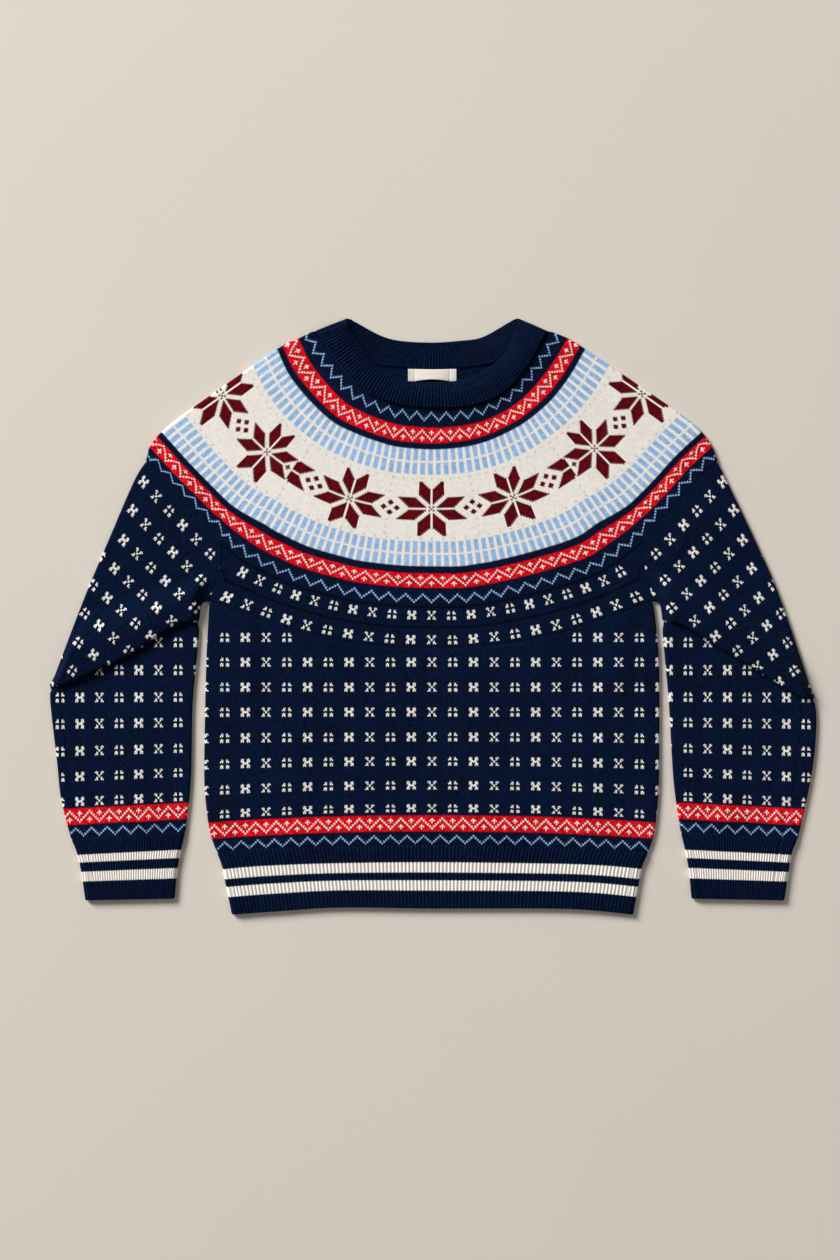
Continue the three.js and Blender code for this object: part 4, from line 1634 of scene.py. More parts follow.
@dataclass
class Yoke:
    """The round yoke: its patterned front and its back."""

    across: int = 230
    row_step: float = 2.0

    def __post_init__(self) -> None:
        """Lays out the seams."""
        self.outer = yoke_outer().moved(SEAM_TRIM)
        self.neck = Path.through(NECK_SEAM_FRONT).moved(-SEAM_TRIM)
        self.lines = YokeLines(self.neck, self.outer)

    def front(self) -> Wall:
        """The front of the yoke, from the neck seam to its outer seam.

        Returns:
            The wall of cloth.
        """
        turns = seam_turns(KNIT)
        even = np.linspace(0, 1, self.across + 1)
        counts, heights = np.array(FRONT_ROWS).T
        # Close rows beside the neck seam, and even ones from there to the lower border
        even_rows = np.arange(2, FOOT_COUNTS[0] + 0.1, self.row_step)
        upper = np.unique(np.concatenate([counts, even_rows, [0.35, 0.8, 1.3]]))
        rows, row_counts = [], []
        for count in upper:
            height = float(np.interp(count, counts, heights))
            row = columns(lambda u: self.lines.place(u, height), KNIT, even, turns)
            rows.append(front_points(self.lines.place(row.u, height), row, KNIT))
            row_counts.append(np.full(len(row.u), float(count)))
        # Below the lower border the rows follow it for the zigzag's depth and then spread to the seam
        spread = [*(k / 16 for k in range(1, 15)), 0.93, 0.96, 0.98, 1.0]
        steps = [*((k / 10, 0.0) for k in range(1, 11)), *((1.0, share) for share in spread)]
        for first, second in steps:

            def foot(u: Array) -> tuple[Array, Array]:
                """Points and row counts of one row of the yoke's foot.

                Args:
                    u: Places from the left fold, 0, to the right one, 1.

                Returns:
                    The points, and the row counts there.
                """
                start, end = self.lines.place(u, heights[-1]), self.lines.line(4, u)
                depth = np.linalg.norm(end - start, axis=1)
                near = np.minimum(FOOT_DEPTH, depth - FOOT_LEAVES)
                short = FOOT_DEPTH - near
                # The plain rows over the zigzag give way before it does
                gap = np.minimum(short, PLAIN_GIVES)
                tight = (ZIGZAG_DEPTH - (short - gap)) / ZIGZAG_DEPTH
                middle, border, zigzag, plain = FOOT_COUNTS
                count = middle + (plain - middle) * first
                down = BORDER_DOWN * np.interp(count, [middle, border], [0, 1])
                down = down + (ZIGZAG_DOWN - gap - BORDER_DOWN) * np.interp(count, [border, zigzag], [0, 1])
                down = down + ZIGZAG_DEPTH * tight * np.interp(count, [zigzag, plain], [0, 1])
                last = np.clip(plain + (depth - near) / ROW_HEIGHT, plain + 0.5, LAST_COUNT)
                down = down + (depth - near) * second
                counts_here = np.full(len(u), count) + (last - plain) * second
                points = start + (end - start) * (down / depth)[:, None]
                return self.lines.to_folds(u, points), counts_here

            row = columns(lambda u: foot(u)[0], KNIT, even, turns)
            points, count = foot(row.u)
            rows.append(front_points(points, row, KNIT))
            row_counts.append(count)
        points, counted = np.stack(rows), np.stack(row_counts)
        chart = self.charted(points, counted)
        half = seam_half(ROW_HEIGHT * (counted[:, points.shape[1] // 2]), KNIT, True, True)
        return Wall(points, half, chart[:, :, 1:-1])

    def charted(self, points: Array, counted: Array) -> Array:
        """Counts the stitches of each strip of the front.

        Args:
            points: The rows' points.
            counted: The rows' counts at each of them.

        Returns:
            The counts by strip, side, column and kind.
        """
        centre = points.shape[1] // 2
        strips = []
        levels = counted[:, centre]
        for j in range(len(points) - 1):
            level = (levels[j] + levels[j + 1]) / 2
            band = next(((last, width) for last, width in BAND_STITCHES if level < last), None)
            if band is None:
                ruler = len(points) - 9
                stitches = measured(points[ruler, :, :2]) / FOOT_STITCH + 0.5
            elif band[1] == 0:
                ruler = int(np.argmin(np.abs(levels - STAR_ROW - 0.5)))
                run = measured(points[ruler, :, :2])
                far, count = np.array(STAR_STITCHES).T
                stitches = np.sign(run) * np.interp(np.abs(run), far, count) + 0.5
            else:
                firsts = [0, *(last for last, _ in BAND_STITCHES)]
                first = max(f for f in firsts if f <= level)
                ruler = int(np.argmin(np.abs(levels - (first + band[0]) / 2)))
                stitches = measured(points[ruler, :, :2]) / band[1] + 0.5
            strips.append([np.stack([stitches, counted[j]], -1), np.stack([stitches, counted[j + 1]], -1)])
        return np.array(strips)

    def back(self) -> Wall:
        """The back of the yoke, which lies on the surface.

        Returns:
            The wall of cloth.
        """
        area = patch(Path.through(NECK_SEAM_BACK).moved(-SEAM_TRIM), self.outer,
                     Path.side(SHOULDERS, 1), Path.side(SHOULDERS, 2))
        rows, charts = [], []
        for v in np.linspace(0, 1, 45):
            row = columns(lambda u: area(u, v), KNIT, np.linspace(0, 1, 111), seam_turns(KNIT))
            place = area(row.u, v)
            rows.append(back_points(place, row, KNIT)[::-1])
            stitches = measured(place) / FOOT_STITCH + 0.5
            charts.append(np.column_stack([stitches, np.full(len(place), FOOT_COUNTS[-1] * v)])[::-1])
        half = np.full(len(rows), KNIT.thick / 2)
        return Wall(np.stack(rows), half, simple_chart(charts)[:, :, 1:-1])

    def build(self) -> None:
        """Makes both pieces."""
        material = yoke_finish()
        flat = (0.637, 0.355)
        finish_piece(self.back(), "yoke_back_knit", "yoke_back", material, flat)
        finish_piece(self.front(), "yoke_front_knit", "yoke_front", material, flat,
                     fuzz=Fuzz(3200, seed=11))


# Heights at the middle of the body and the row counts there
BODY_ROWS = [
    (60, -28.5), (3.9, 6.5), (-23.9, 19.5), (-51.5, 32.5), (-79.5, 45.5), (-107.3, 58.5), (-135.2, 71.5),
    (-162.4, 84.5), (-189.3, 97.5), (-215.0, 110.5), (-222.9, 115), (-240.8, 123), (-244.6, 125),
    (-255.0, 130), (-266, 135.5),
]
BODY_STITCH = 2.318
BODY_HEIGHT = 240


def body_chart(place: Array) -> Array:
    """Stitch and row counts on the body.

    Args:
        place: Points, with x and y first.

    Returns:
        The two counts for each point.
    """
    x, y = place[..., 0], place[..., 1]
    # Towards the sides the lower rows sink, as the hem does
    sag = 8 * (np.abs(x) / 242) ** 2.2 * smooth(-y, 90, 256)
    heights, counts = np.array(BODY_ROWS).T
    rows = np.interp(-(y + sag), -heights, counts)
    return np.stack([(x + 1.2) / BODY_STITCH + 0.5, rows], axis=-1)


def rib_counts(u: Array, ribs: int) -> Array:
    """Stitch counts along a row of single rib, two to a rib, where each rib's furrow is at a whole rib."""
    return 2 * ribs * u


def rib_wave(points: int) -> Array:
    """How far each point of a ribbed row stands up, as a share of the ribs' height."""
    return np.sin(np.pi * np.arange(points) / COLUMNS_A_RIB) ** 2


def ribbed_round(
    over: Place, under: Place, cloth: Cloth, across: Sequence[Array], ribs: int, count: float
) -> tuple[Array, Array]:
    """One row of a ribbed tube: over the top, and back underneath.

    Args:
        over: From places along the row to points, for its front half.
        under: The same for its back half.
        cloth: The ribbing.
        across: Places of the columns of both halves.
        ribs: Ribs across each half.
        count: The row's count.

    Returns:
        The row's points, and the stitch and row counts there.
    """
    front, back = columns(over, cloth, across[0], TUBE_TURNS), columns(under, cloth, across[1], TUBE_TURNS)
    beneath = back_points(under(back.u), back, cloth)[1:-1][::-1]
    points = np.vstack([front_points(over(front.u), front, cloth), beneath])
    stitches = np.concatenate([rib_counts(front.u, ribs), rib_counts(back.u[1:-1], ribs)[::-1]])
    return points, np.column_stack([stitches, np.full(len(points), count)])


@dataclass
class Body:
    """The two body panels and their ribbed welts."""

    across: int = 150
    down: int = 84
    welt_rows: float = 32

    def __post_init__(self) -> None:
        """Lays out the seams."""
        self.seam = Path.through(BODY_SEAM).chords(BODY_CHORDS)
        self.hem_seam = Path.through(HEM_SEAM).chords(BODY_CHORDS)
        self.body = patch(self.seam.moved(-SEAM_TRIM), self.hem_seam.moved(SEAM_TRIM),
                          Path.side(BODY_SIDES, 1), Path.side(BODY_SIDES, 2))
        self.hem = patch(self.hem_seam.moved(-SEAM_TRIM), Path.through(HEM_EDGE),
                         Path.side(HEM_SIDES, 1), Path.side(HEM_SIDES, 2))

    def panel(self, front: bool) -> Wall:
        """One body panel.

        Args:
            front: Whether it is the front one.

        Returns:
            The wall of cloth.
        """
        across, down = (self.across, self.down) if front else (80, 24)
        rows, charts = [], []
        fractions = seam_steps(BODY_HEIGHT, down + 1)
        for v in fractions:
            row = columns(lambda u: self.body(u, v), KNIT, np.linspace(0, 1, across + 1), seam_turns(KNIT))
            place = self.body(row.u, v)
            points = front_points(place, row, KNIT) if front else back_points(place, row, KNIT)
            charts.append(body_chart(place) if front else body_chart(place)[::-1])
            rows.append(points if front else points[::-1])
        half = seam_half(BODY_HEIGHT * fractions, KNIT, True, True)
        return Wall(np.stack(rows), half, simple_chart(charts)[:, :, 1:-1])

    def welt(self, front: bool) -> Wall:
        """One ribbed welt, thinner towards its lower edge.

        Args:
            front: Whether it is the front one.

        Returns:
            The wall of cloth.
        """
        fractions = np.concatenate([[0, 0.01, 0.025, 0.045], np.linspace(0.07, 0.96, 15), [0.98, 0.993, 1]])
        half = seam_half(WELT_HEIGHT * fractions, RIBBING, True, False)
        half[-3:] *= FREE_EDGE
        even = np.linspace(0, 1, COLUMNS_A_RIB * HEM_RIBS + 1 if front else 101)
        turns = seam_turns(RIBBING, 3)
        rows, charts = [], []
        for v in fractions:
            row = columns(lambda u: self.hem(u, v), RIBBING, even, turns)
            place = self.hem(row.u, v)
            points = front_points(place, row, RIBBING) if front else back_points(place, row, RIBBING)
            chart = np.column_stack([rib_counts(row.u, HEM_RIBS), np.full(len(place), self.welt_rows * v)])
            rows.append(points if front else points[::-1])
            charts.append(chart if front else chart[::-1])
        points = np.stack(rows)
        outer = 0.0
        if front:
            ribs = np.zeros(points.shape[1] - 2)
            ribs[len(turns) - 1:len(turns) - 1 + len(even)] = rib_wave(len(even))
            # The ribs get lower over the last rows
            ends = np.minimum(1, (1 - fractions) / 0.03)[:, None]
            outer = RIB_HEIGHT * ribs[None, :] * (0.35 + 0.65 * ends)
        return Wall(points, half, simple_chart(charts)[:, :, 1:-1], outer=outer)

    def build(self) -> None:
        """Makes the four pieces."""
        knit = plain_finish("stranded wool knit, body", 113.5, 115, 125, [(12.5, 400), (25.5, 65)], 55)
        rib = rib_finish("single rib in wool, welt", [(9, 13), (18, 22)])
        flat, hem_flat = (0.513, 0.281), (0.484, 0.079)
        finish_piece(self.panel(False), "body_back_knit", "body_back", knit, flat)
        finish_piece(self.panel(True), "body_front_knit", "body_front", knit, flat,
                     fuzz=Fuzz(3200, seed=21))
        finish_piece(self.welt(False), "hem_back_rib", "hem_back", rib, hem_flat)
        finish_piece(self.welt(True), "hem_front_rib", "hem_front", rib, hem_flat)


@dataclass
class Tuck:
    """The elbow's fold from the side, at distances from the nearer end of the fold line."""

    from_end: Array

    def __post_init__(self) -> None:
        """Works out the turns: the cloth turns under, runs back and turns again."""
        turn = np.maximum(0.02, np.pi * smooth(self.from_end, 0, TUCK_OPENS))
        deepens = smooth(self.from_end, TUCK_OPENS, TUCK_OPENS + TUCK_DEEPENS)
        back = TUCK_LEAST + (TUCK_DEPTH - TUCK_LEAST) * deepens
        radius = TUCK_RADIUS + TUCK_EASE / turn
        self.rise = 2 * radius * (1 - np.cos(turn)) + back * np.sin(turn)
        self.reach = back + 2 * radius
        start = -radius * np.where(turn < np.pi / 2, np.sin(turn), 1)
        along = start + radius * np.sin(turn) + back * np.cos(turn)
        up = radius * (1 - np.cos(turn))
        shares = np.linspace(0, 1, TUCK_STEPS)
        under = [(start + radius * np.sin(f * turn), self.rise - radius * (1 - np.cos(f * turn)))
                 for f in shares]
        over = [(along + radius * (np.sin(turn) - np.sin(turn - f * turn)),
                 up - radius * (np.cos(turn - f * turn) - np.cos(turn))) for f in shares]
        self.steps = [*under, *over]


# The upper sleeves' rows were measured on the picture, at this many mm a pixel
PIXEL = 1.12
# Rows of motifs down the forearm: y at the sleeve's inner side and the row count there
FOREARM_ROWS = [
    (200, -102), (-1, -6.5), (-29.1, 6.5), (-60.5, 19.5), (-90.7, 32.5), (-118.7, 45.5), (-147.8, 58.5),
    (-174.7, 71.5), (-201.6, 84.5), (-208.9, 88), (-227.4, 96), (-230.2, 98), (-240.8, 103), (-252, 108.5),
]
FOREARM_STITCH = 2.2
# How far the upper arm runs, and its rows
UPPER_RUN = 230
UPPER_STEPS = 38


def upper_arm_chart(place: Array) -> Array:
    """Stitch and row counts on a left upper sleeve, whose rows fan from the yoke's slant to the elbow.

    Args:
        place: Points, with x and y first.

    Returns:
        The two counts for each point.
    """
    x = (place[..., 0] / PIXEL + 283) / 100
    y = (56 - place[..., 1] / PIXEL) / 100
    motif = 1.785 + 1.66 * y - 0.265 * y**2 + 5.584 * x - 0.023 * x * y - 0.183 * x**2
    row = 1.842 + 2.745 * y + 0.218 * y**2 - 2.688 * x + 0.161 * x * y - 0.083 * x**2
    stitch = 10 * motif - 10 + HALF_DROP * row + HALF_DROP * UPPER_ARM / MOTIF_ROWS
    return np.stack([stitch + 0.5, MOTIF_ROWS * row + 6.5 + UPPER_ARM], axis=-1)


def forearm_chart(place: Array) -> Array:
    """Stitch and row counts on a left forearm. Towards its outer side the lower rows sink.

    Args:
        place: Points, with x and y first.

    Returns:
        The two counts for each point.
    """
    x, y = place[..., 0], place[..., 1]
    sag = 6.5 * np.clip((-x - 277) / 128, 0, 1.2) * smooth(-y, 60, 230)
    heights, counts = np.array(FOREARM_ROWS).T
    return np.stack([(x + 373) / FOREARM_STITCH + 0.5, np.interp(-(y + sag), -heights, counts)], axis=-1)


@dataclass
class Sleeve:
    """One sleeve as a tube, sewn along its length, with its elbow folded under, and its cuff."""

    side: str
    cut: SleeveCut
    cuff_rows: float = 33

    def rows(self) -> tuple[Array, Array]:
        """The sleeve's points and its chart, laid out for the left side.

        Returns:
            The points by row and column, and the counts by strip.
        """
        cut = self.cut
        seams = [Path.through(away(cut.yoke_seam)).chords(YOKE_SEAM_CHORDS),
                 Path.through(away(cut.armhole)).chords(ARMHOLE_CHORDS)]
        top = Path.joined(*seams)
        elbow, wrist, outer_upper, inner_upper, outer_lower, inner_lower = (
            Path.through(away(line)) for line in (cut.elbow, cut.cuff_seam, cut.outer_upper, cut.inner_upper,
                                                  cut.outer_lower, cut.inner_lower))
        upper = patch(top.moved(-TUBE_TRIM), elbow, outer_upper, inner_upper)
        lower = patch(elbow, wrist.moved(SEAM_TRIM), outer_lower, inner_lower)
        corner = seams[0].run / top.run
        # Columns over the top, closer together beside both folds
        even = np.concatenate([np.linspace(0, 0.12, 14)[:-1], np.linspace(0.12, corner, 52)[:-1],
                               np.linspace(corner, 0.92, 12)[:-1], np.linspace(0.92, 1, 10)])
        under = np.linspace(0, 1, 33)

        def fold_at(u: Array, further: float = 0.0) -> Tuck:
            """The elbow's fold at places along its line."""
            return Tuck(np.minimum(u, 1 - u) * elbow.run + further)

        def swing(u: Array) -> Array:
            """The way that the fold's layers run, away from the shoulder.

            Args:
                u: Places along the fold.

            Returns:
                A direction for each.
            """
            way = elbow.at(u + 0.01) - elbow.at(u - 0.01)
            way /= np.linalg.norm(way, axis=1, keepdims=True)
            square = np.stack([way[:, 1], -way[:, 0]], axis=-1)
            share = smooth(u, 0.8, 1)[:, None]
            mixed = square * (1 - share) + np.array([-INNER_SWING[0], INNER_SWING[1]]) * share
            return mixed / np.linalg.norm(mixed, axis=1, keepdims=True)

        full = fold_at(np.array([0.5])).rise[0]
        rows, kinds = [], []

        def add(place: Place, height: Callable[[Array], Array], over: Place, kind: int) -> None:
            """Adds one row of the tube: over the top, and back underneath.

            Args:
                place: The row's place on the surface.
                height: How much its top stands up.
                over: The place of its top.
                kind: 0 on the upper arm, 1 on the forearm.
            """
            row = columns(place, KNIT, even, TUBE_TURNS)
            points = front_points(over(row.u), row, KNIT)
            points[:, 2] += height(row.u)
            below = columns(place, KNIT, under, TUBE_TURNS)
            beneath = back_points(place(below.u), below, KNIT)[1:-1][::-1]
            rows.append(np.vstack([points, beneath]))
            kinds.append(kind)

        for share in self.upper_steps():

            def spot(u: Array) -> tuple[Array, Array, Array]:
                """Points of an upper-arm row, and the distances done and left down the arm.

                Args:
                    u: Places along the row.

                Returns:
                    The points and both distances.
                """
                u = np.asarray(u, float)
                run = np.linalg.norm(upper(u, 0.0) - upper(u, 1.0), axis=1)
                v = share * np.maximum(1 - TUCK_CLEAR / run, TUCK_LEAVES)
                points = np.stack([upper(u[i:i + 1], float(v[i]))[0] for i in range(len(u))])
                return points, v * run, (1 - v) * run

            def stands(u: Array) -> Array:
                """How high the arm stands over the layers hidden in the fold.

                Args:
                    u: Places along the row.

                Returns:
                    The height at each.
                """
                done, left = spot(u)[1:]
                fold, reach = fold_at(u), fold_at(u, PUFF_AHEAD).reach
                puff = TUCK_PUFF * smooth(left / reach, 0, 1) * fold.rise / full
                settled = smooth((left - reach - TUCK_CLEAR) / (TUCK_SETTLES - TUCK_CLEAR), 0, 1)
                return (fold.rise + puff) * (1 - settled) * smooth(done, 0, SEAM_STAYS)

            add(lambda u: spot(u)[0], stands, lambda u: spot(u)[0], 0)
        spread = Tuck(np.array([0.0])).steps
        for step in range(2 * TUCK_STEPS):
            gap = float(spread[step][0][0])
            add(lambda u: elbow.at(u) + swing(u) * gap,
                lambda u: fold_at(u).steps[step][1],
                lambda u: elbow.at(u) + swing(u) * fold_at(u).steps[step][0][:, None],
                0 if step < TUCK_STEPS else 1)
        for v in np.linspace(0.04, 1, 44):
            add(lambda u: lower(u, v), lambda u: np.zeros(len(u)), lambda u: lower(u, v), 1)
        points = np.stack(rows)
        kinds = np.array(kinds)
        both = [upper_arm_chart(points), forearm_chart(points)]
        chart = np.array([[both[kinds[j + 1]][j], both[kinds[j + 1]][j + 1]] for j in range(len(points) - 1)])
        return points, chart

    def upper_steps(self) -> Array:
        """Fractions of the upper arm where its rows lie."""
        return seam_steps(UPPER_RUN, UPPER_STEPS, bottom=False)

    def turned(self, points: Array, chart: Array) -> tuple[Array, Array]:
        """Left as it is, or mirrored for the right side, with its columns the other way round.

        Args:
            points: The left sleeve's points.
            chart: Its chart.

        Returns:
            This side's points and chart.
        """
        if self.side == "left":
            return points, chart
        mirrored = points[:, ::-1] * np.array([-1, 1, 1])
        return mirrored, chart[:, :, ::-1]

    def tube(self) -> Wall:
        """The sleeve.

        Returns:
            The wall of cloth.
        """
        points, chart = self.turned(*self.rows())
        half = np.full(len(points), KNIT.thick / 2)
        shares = self.upper_steps()
        half[:len(shares)] = seam_half(UPPER_RUN * shares, KNIT, True, False)
        return Wall(points, half, closed(chart), ring=True)

    def cuff(self) -> Wall:
        """The ribbed cuff.

        Returns:
            The wall of cloth.
        """
        cut = self.cut
        seam, edge, outer, inner = (
            Path.through(away(line))
            for line in (cut.cuff_seam, cut.cuff_edge, cut.cuff_outer, cut.cuff_inner))
        area = patch(seam.moved(-TUBE_TRIM), edge, outer, inner)
        fractions = np.concatenate([[0, 0.01, 0.025, 0.045], np.linspace(0.07, 0.95, 13), [0.975, 0.992, 1]])
        half = seam_half(WELT_HEIGHT * fractions, RIBBING, True, False)
        half[-3:] *= FREE_EDGE
        even = np.linspace(0, 1, COLUMNS_A_RIB * CUFF_RIBS + 1)
        across = (even, np.linspace(0, 1, 33))
        rows, charts = [], []
        for v in fractions:

            def place(u: Array) -> Array:
                """Points along this row."""
                return area(u, v)

            points, counts = ribbed_round(place, place, RIBBING, across, CUFF_RIBS, self.cuff_rows * v)
            rows.append(points)
            charts.append(counts)
        points = np.stack(rows)
        raised = np.zeros(points.shape[1])
        first = len(TUBE_TURNS)
        raised[first:first + len(even)] = RIB_HEIGHT * rib_wave(len(even))
        raised = np.tile(raised, (len(points), 1))
        points, chart = self.turned(points, simple_chart(charts))
        if self.side == "right":
            raised = raised[:, ::-1]
        return Wall(points, half, closed(chart), ring=True, outer=raised)

    def build(self, knit: Material, rib: Material) -> None:
        """Makes the sleeve and its cuff.

        Args:
            knit: The sleeve's finish.
            rib: The cuff's.
        """
        finish_piece(self.tube(), f"sleeve_{self.side}_knit", f"sleeve_{self.side}", knit,
                     (0.42, 0.50), fuzz=Fuzz(4200, seed=31 if self.side == "left" else 41))
        finish_piece(self.cuff(), f"cuff_{self.side}_rib", f"cuff_{self.side}", rib,
                     (0.245, 0.078))


@dataclass
class Neck:
    """The doubled ribbed neckband, joined to the yoke by a row of linking stitches."""

    rows: float = 14

    def band(self) -> Wall:
        """The neckband as a ring: its front half lies over its back half.

        Returns:
            The wall of cloth.
        """

        def half(edge: Points, seam: Points) -> Callable[[Array, float], Array]:
            """One half between its folded edge and its seam.

            Args:
                edge: The folded edge.
                seam: The seam.

            Returns:
                A function from u and v to points.
            """
            return patch(Path.through(edge), Path.through(seam).moved(TUBE_TRIM),
                         Path.through([edge[0], seam[0]]), Path.through([edge[-1], seam[-1]]))

        front, back = half(NECK_EDGE_FRONT, NECK_SEAM_FRONT), half(NECK_EDGE_BACK, NECK_SEAM_BACK)
        even = np.linspace(0, 1, COLUMNS_A_RIB * NECK_RIBS + 1)
        fractions = np.concatenate([[0, 0.012, 0.03], np.linspace(0.06, 1, 12)])
        share = NECK_EDGE_SHARE + (1 - NECK_EDGE_SHARE) * smooth(fractions, 0, 0.6)
        rounded = np.ones(len(fractions))
        rounded[:2] = (0.55, 0.85)
        rows, charts = [], []
        for v, thin in zip(fractions, NECK_RIBBING.thick / 2 * (1 - share)):
            points, counts = ribbed_round(lambda u: front(u, v), lambda u: back(u, v), NECK_RIBBING,
                                          (even, even), NECK_RIBS, self.rows * v)
            points[:, 2] -= thin
            rows.append(points)
            charts.append(counts)
        points = np.stack(rows)
        wave = rib_wave(len(even)) * NECK_RIB_HEIGHT
        bulge = NECK_BULGE * np.sin(np.pi * fractions**0.8)[:, None]
        outer, inner = np.zeros(points.shape[1]), np.zeros(points.shape[1])
        first = len(TUBE_TURNS)
        outer[first:first + len(even)] = wave
        after = len(even) + 2 * first + first - 1
        inner[after:after + len(even)] = wave[::-1]
        over_front = np.zeros(points.shape[1])
        over_front[first:first + len(even)] = smooth(np.minimum(even, 1 - even), 0, 0.06)
        fade = np.clip((fractions + 0.02) / 0.05, 0, 1)[:, None]
        return Wall(points, NECK_RIBBING.thick / 2 * share * rounded, closed(simple_chart(charts)),
                    ring=True, outer=outer[None, :] * fade + bulge * over_front[None, :],
                    inner=inner[None, :] * fade)

    def seam_stitches(self, finish: Material) -> Piece:
        """The row of linking stitches where the neckband is joined to the front of the yoke.

        Args:
            finish: The yarn.

        Returns:
            The stitches as one object.
        """
        line = Path.through(NECK_SEAM_FRONT).at(np.linspace(0.02, 0.98, 200))
        height = KNIT.thick / 2 + 2 * KNIT.radius + lift(line) + 0.35
        return Stitches(every=3.7, length=2.4, radius=0.42).sewn(
            "neck_linking_stitches", np.column_stack([line, height]), finish)

    def build(self) -> None:
        """Makes the neckband and the label, with their stitches."""
        thread = thread_finish("wool yarn, linking stitches", NAVY)
        dark = thread_finish("spun polyester thread, label", THREAD)
        linking = self.seam_stitches(thread)
        rib = rib_finish("single rib in wool, neck", [])
        finish_piece(self.band(), "neckband_rib", "neckband", rib, (0.66, 0.062),
                     [linking])
        Label().build(dark)


@dataclass
class Label:
    """The blank label: a tape whose two ends are folded under and sewn, arched between them."""

    left: float = -28.0
    right: float = 26.0
    top: float = 276.3
    bottom: float = 262.6
    # How long each sewn end is, how far its stitches are from the tape's end, and its crease
    tab: float = 7.5
    sewn: float = 2.0
    crease_width: float = 0.7
    crease_depth: float = 0.45
    # How far the tape stands up, and how far its lower and upper edges bow towards each other
    arch: float = 2.3
    lower_bow: float = 1.9
    upper_bow: float = 0.5
    # Half its thickness, which takes in the folded ends
    half: float = 0.55

    def tape(self) -> Wall:
        """The tape.

        Returns:
            The wall of cloth.
        """
        u, v = np.meshgrid(np.linspace(-0.015, 1.015, 69), np.linspace(0, 1, 15))
        x = self.left + (self.right - self.left) * u
        middle, reach = (self.left + self.right) / 2, (self.right - self.left) / 2 - self.tab
        arch = 1 - np.clip((x - middle) / reach, -1, 1) ** 2
        y = self.top + (self.bottom - self.top) * v + (self.lower_bow * v - self.upper_bow * (1 - v)) * arch
        z = LABEL_HEIGHT + 0.5 + self.arch * arch * (0.35 + 0.65 * v)
        for fold in (self.left + self.tab, self.right - self.tab):
            z = z + ridge(x, y, (fold, 200, fold, 300, self.crease_width, -self.crease_depth))
        half = self.half * np.concatenate([[0.5, 0.85], np.ones(11), [0.85, 0.5]])
        counts = simple_chart(np.stack([x, y], axis=-1))
        return Wall(np.stack([x, y, z], axis=-1), half, counts[:, :, 1:-1])

    def stitches(self, side: str, finish: Material) -> Piece:
        """The few stitches that hold one end of the label.

        Args:
            side: Left or right.
            finish: The thread.

        Returns:
            The stitches as one object.
        """
        x = self.left + self.sewn if side == "left" else self.right - self.sewn
        y = np.linspace(274.4, 266.0, 20)
        line = np.column_stack([np.full(20, x), y, np.full(20, LABEL_HEIGHT + 1.12)])
        return Stitches(every=2.6, length=1.1, radius=0.16).sewn(f"label_stitches_{side}", line, finish)

    def build(self, thread: Material) -> None:
        """Makes the stitches and the tape.

        Args:
            thread: The stitches' finish.
        """
        ends = [self.stitches(side, thread) for side in ("left", "right")]
        finish_piece(self.tape(), "neck_label_tape", "neck_label", label_finish(),
                     (0.054, 0.014), ends)


def thread_finish(name: str, yarn: Yarn) -> Material:
    """Twisted thread: matt, one colour.

    Args:
        name: The material's name.
        yarn: Its colour.

    Returns:
        The material.
    """
    made, tree = blank_finish(name)
    # The twist breaks up the light, so the thread shows as one soft tone
    shader = add_node(tree, "ShaderNodeBsdfPrincipled", {
        "Base Color": yarn.colour, "Roughness": 0.85, "Specular IOR Level": 0.15})
    add_node(tree, "ShaderNodeOutputMaterial", {"Surface": shader})
    return made


def label_finish() -> Material:
    """Woven satin tape in cream: fine weft lines, a slight gloss.

    Returns:
        The material.
    """
    made, tree = blank_finish("woven satin tape, label")
    # Its long floats catch the light in a soft band, the one smooth thing on the jumper
    place = add_node(tree, "ShaderNodeTexCoord", output="Object")
    # Weft lines 0.5 mm apart, coarser than the real ones so that they show
    weft = add_node(tree, "ShaderNodeTexWave", {"Vector": place, "Scale": 640.0, "Distortion": 0.6},
                    bands_direction="Y")
    cloudy = add_node(tree, "ShaderNodeTexNoise", {"Vector": place, "Scale": 120.0})
    tone = (Count(tree, weft) * 0.07 + Count(tree, cloudy) * 0.12 + 0.87).socket
    colour = add_node(tree, "ShaderNodeMix", {0: 1.0, 6: TAPE.colour, 7: tone}, 2, data_type="RGBA",
                      blend_type="MULTIPLY")
    bump = add_node(tree, "ShaderNodeBump", {"Strength": 0.35, "Distance": 0.2 * MM, "Height": weft})
    shader = add_node(tree, "ShaderNodeBsdfPrincipled", {
        "Base Color": colour, "Roughness": 0.55, "Normal": bump, "Specular IOR Level": 0.35,
        "Sheen Weight": 0.15})
    add_node(tree, "ShaderNodeOutputMaterial", {"Surface": shader})
    return made


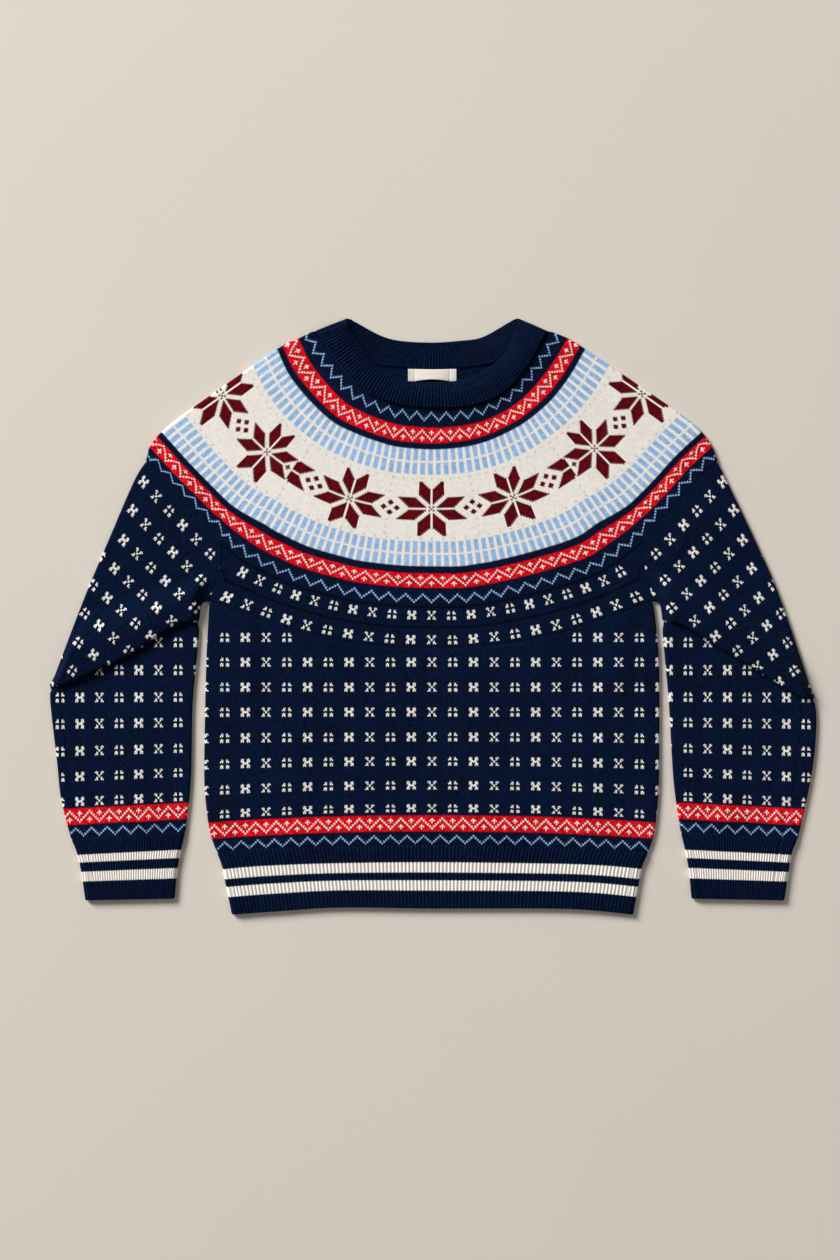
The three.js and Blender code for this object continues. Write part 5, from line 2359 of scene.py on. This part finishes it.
@dataclass
class Studio:
    """The pale surface, the soft light from the upper left and the camera straight above."""

    lens: float = 85.0
    sensor: float = 36.0
    seen_height: float = 1411.0
    centre: tuple[float, float] = (-14.6, -15.7)
    # The board: matt paint, warm and pale, so that the shadows on it stay soft and brown
    surface: str = "#e3dacf"
    reach: float = 4.0
    room: str = "#f4f1ee"
    room_strength: float = 0.19

    def build(self) -> None:
        """Makes the floor, the lights and the camera."""
        self.floor()
        self.lights()
        self.camera()

    def floor(self) -> None:
        """A wide plain surface just under the jumper."""
        reach = self.reach
        corners = [(-reach, -reach, 0), (reach, -reach, 0), (reach, reach, 0), (-reach, reach, 0)]
        made = bpy.data.meshes.new("floor")
        made.from_pydata(corners, [], [(0, 1, 2, 3)])
        floor = in_scene("floor", made)
        finish, tree = blank_finish("matt painted board, surface")
        place = add_node(tree, "ShaderNodeTexCoord", output="Object")
        grain = add_node(tree, "ShaderNodeTexNoise", {"Vector": place, "Scale": 3.0, "Detail": 2.0})
        tone = (Count(tree, grain) * 0.03 + 0.985).socket
        colour = add_node(tree, "ShaderNodeMix", {0: 1.0, 6: linear(self.surface), 7: tone}, 2,
                          data_type="RGBA", blend_type="MULTIPLY")
        shader = add_node(tree, "ShaderNodeBsdfPrincipled", {
            "Base Color": colour, "Roughness": 0.85, "Specular IOR Level": 0.2})
        add_node(tree, "ShaderNodeOutputMaterial", {"Surface": shader})
        made.materials.append(finish)

    def lights(self) -> None:
        """A large soft light from the upper left, a weaker one opposite, and a pale room."""
        # Place and width in metres, and watts
        for name, place, size, power in (
            ("key light", (-6.7, 6.2, 5.6), 4.4, 1475.0),
            ("fill light", (2.4, -2.2, 3.2), 2.6, 14.0),
        ):
            lamp = bpy.data.lights.new(name, "AREA")
            lamp.size = size
            lamp.energy = power
            light = in_scene(name, lamp)
            light.location = place
            flat = math.hypot(place[0], place[1])
            light.rotation_euler = (math.atan2(flat, place[2]), 0, math.atan2(-place[0], place[1]) + math.pi)
        world = bpy.data.worlds.new("room")
        world.use_nodes = True
        background = world.node_tree.nodes["Background"]
        background.inputs["Color"].default_value = linear(self.room)
        background.inputs["Strength"].default_value = self.room_strength
        bpy.context.scene.world = world

    def camera(self) -> None:
        """The camera straight above, with the photo's frame."""
        lens = bpy.data.cameras.new("camera")
        lens.lens = self.lens
        lens.sensor_width = self.sensor
        lens.sensor_height = self.sensor
        lens.sensor_fit = "AUTO"
        camera = in_scene("camera", lens)
        away_up = self.seen_height * self.lens / self.sensor
        camera.location = (self.centre[0] * MM, self.centre[1] * MM, away_up * MM)
        lens.clip_end = 50
        bpy.context.scene.camera = camera
        bpy.context.scene.view_settings.view_transform = "Standard"


def main() -> None:
    """Builds the studio and the jumper."""
    logging.basicConfig(level=logging.INFO, format="%(name)s: %(message)s")
    Studio().build()
    Yoke().build()
    Body().build()
    knit = plain_finish("stranded wool knit, sleeves", 86.8, 88, 98)
    rib = rib_finish("single rib in wool, cuffs", [(9, 12), (18, 22)])
    for side, cut in SLEEVES.items():
        Sleeve(side, cut).build(knit, rib)
    Neck().build()


if __name__ == "__main__":
    main()
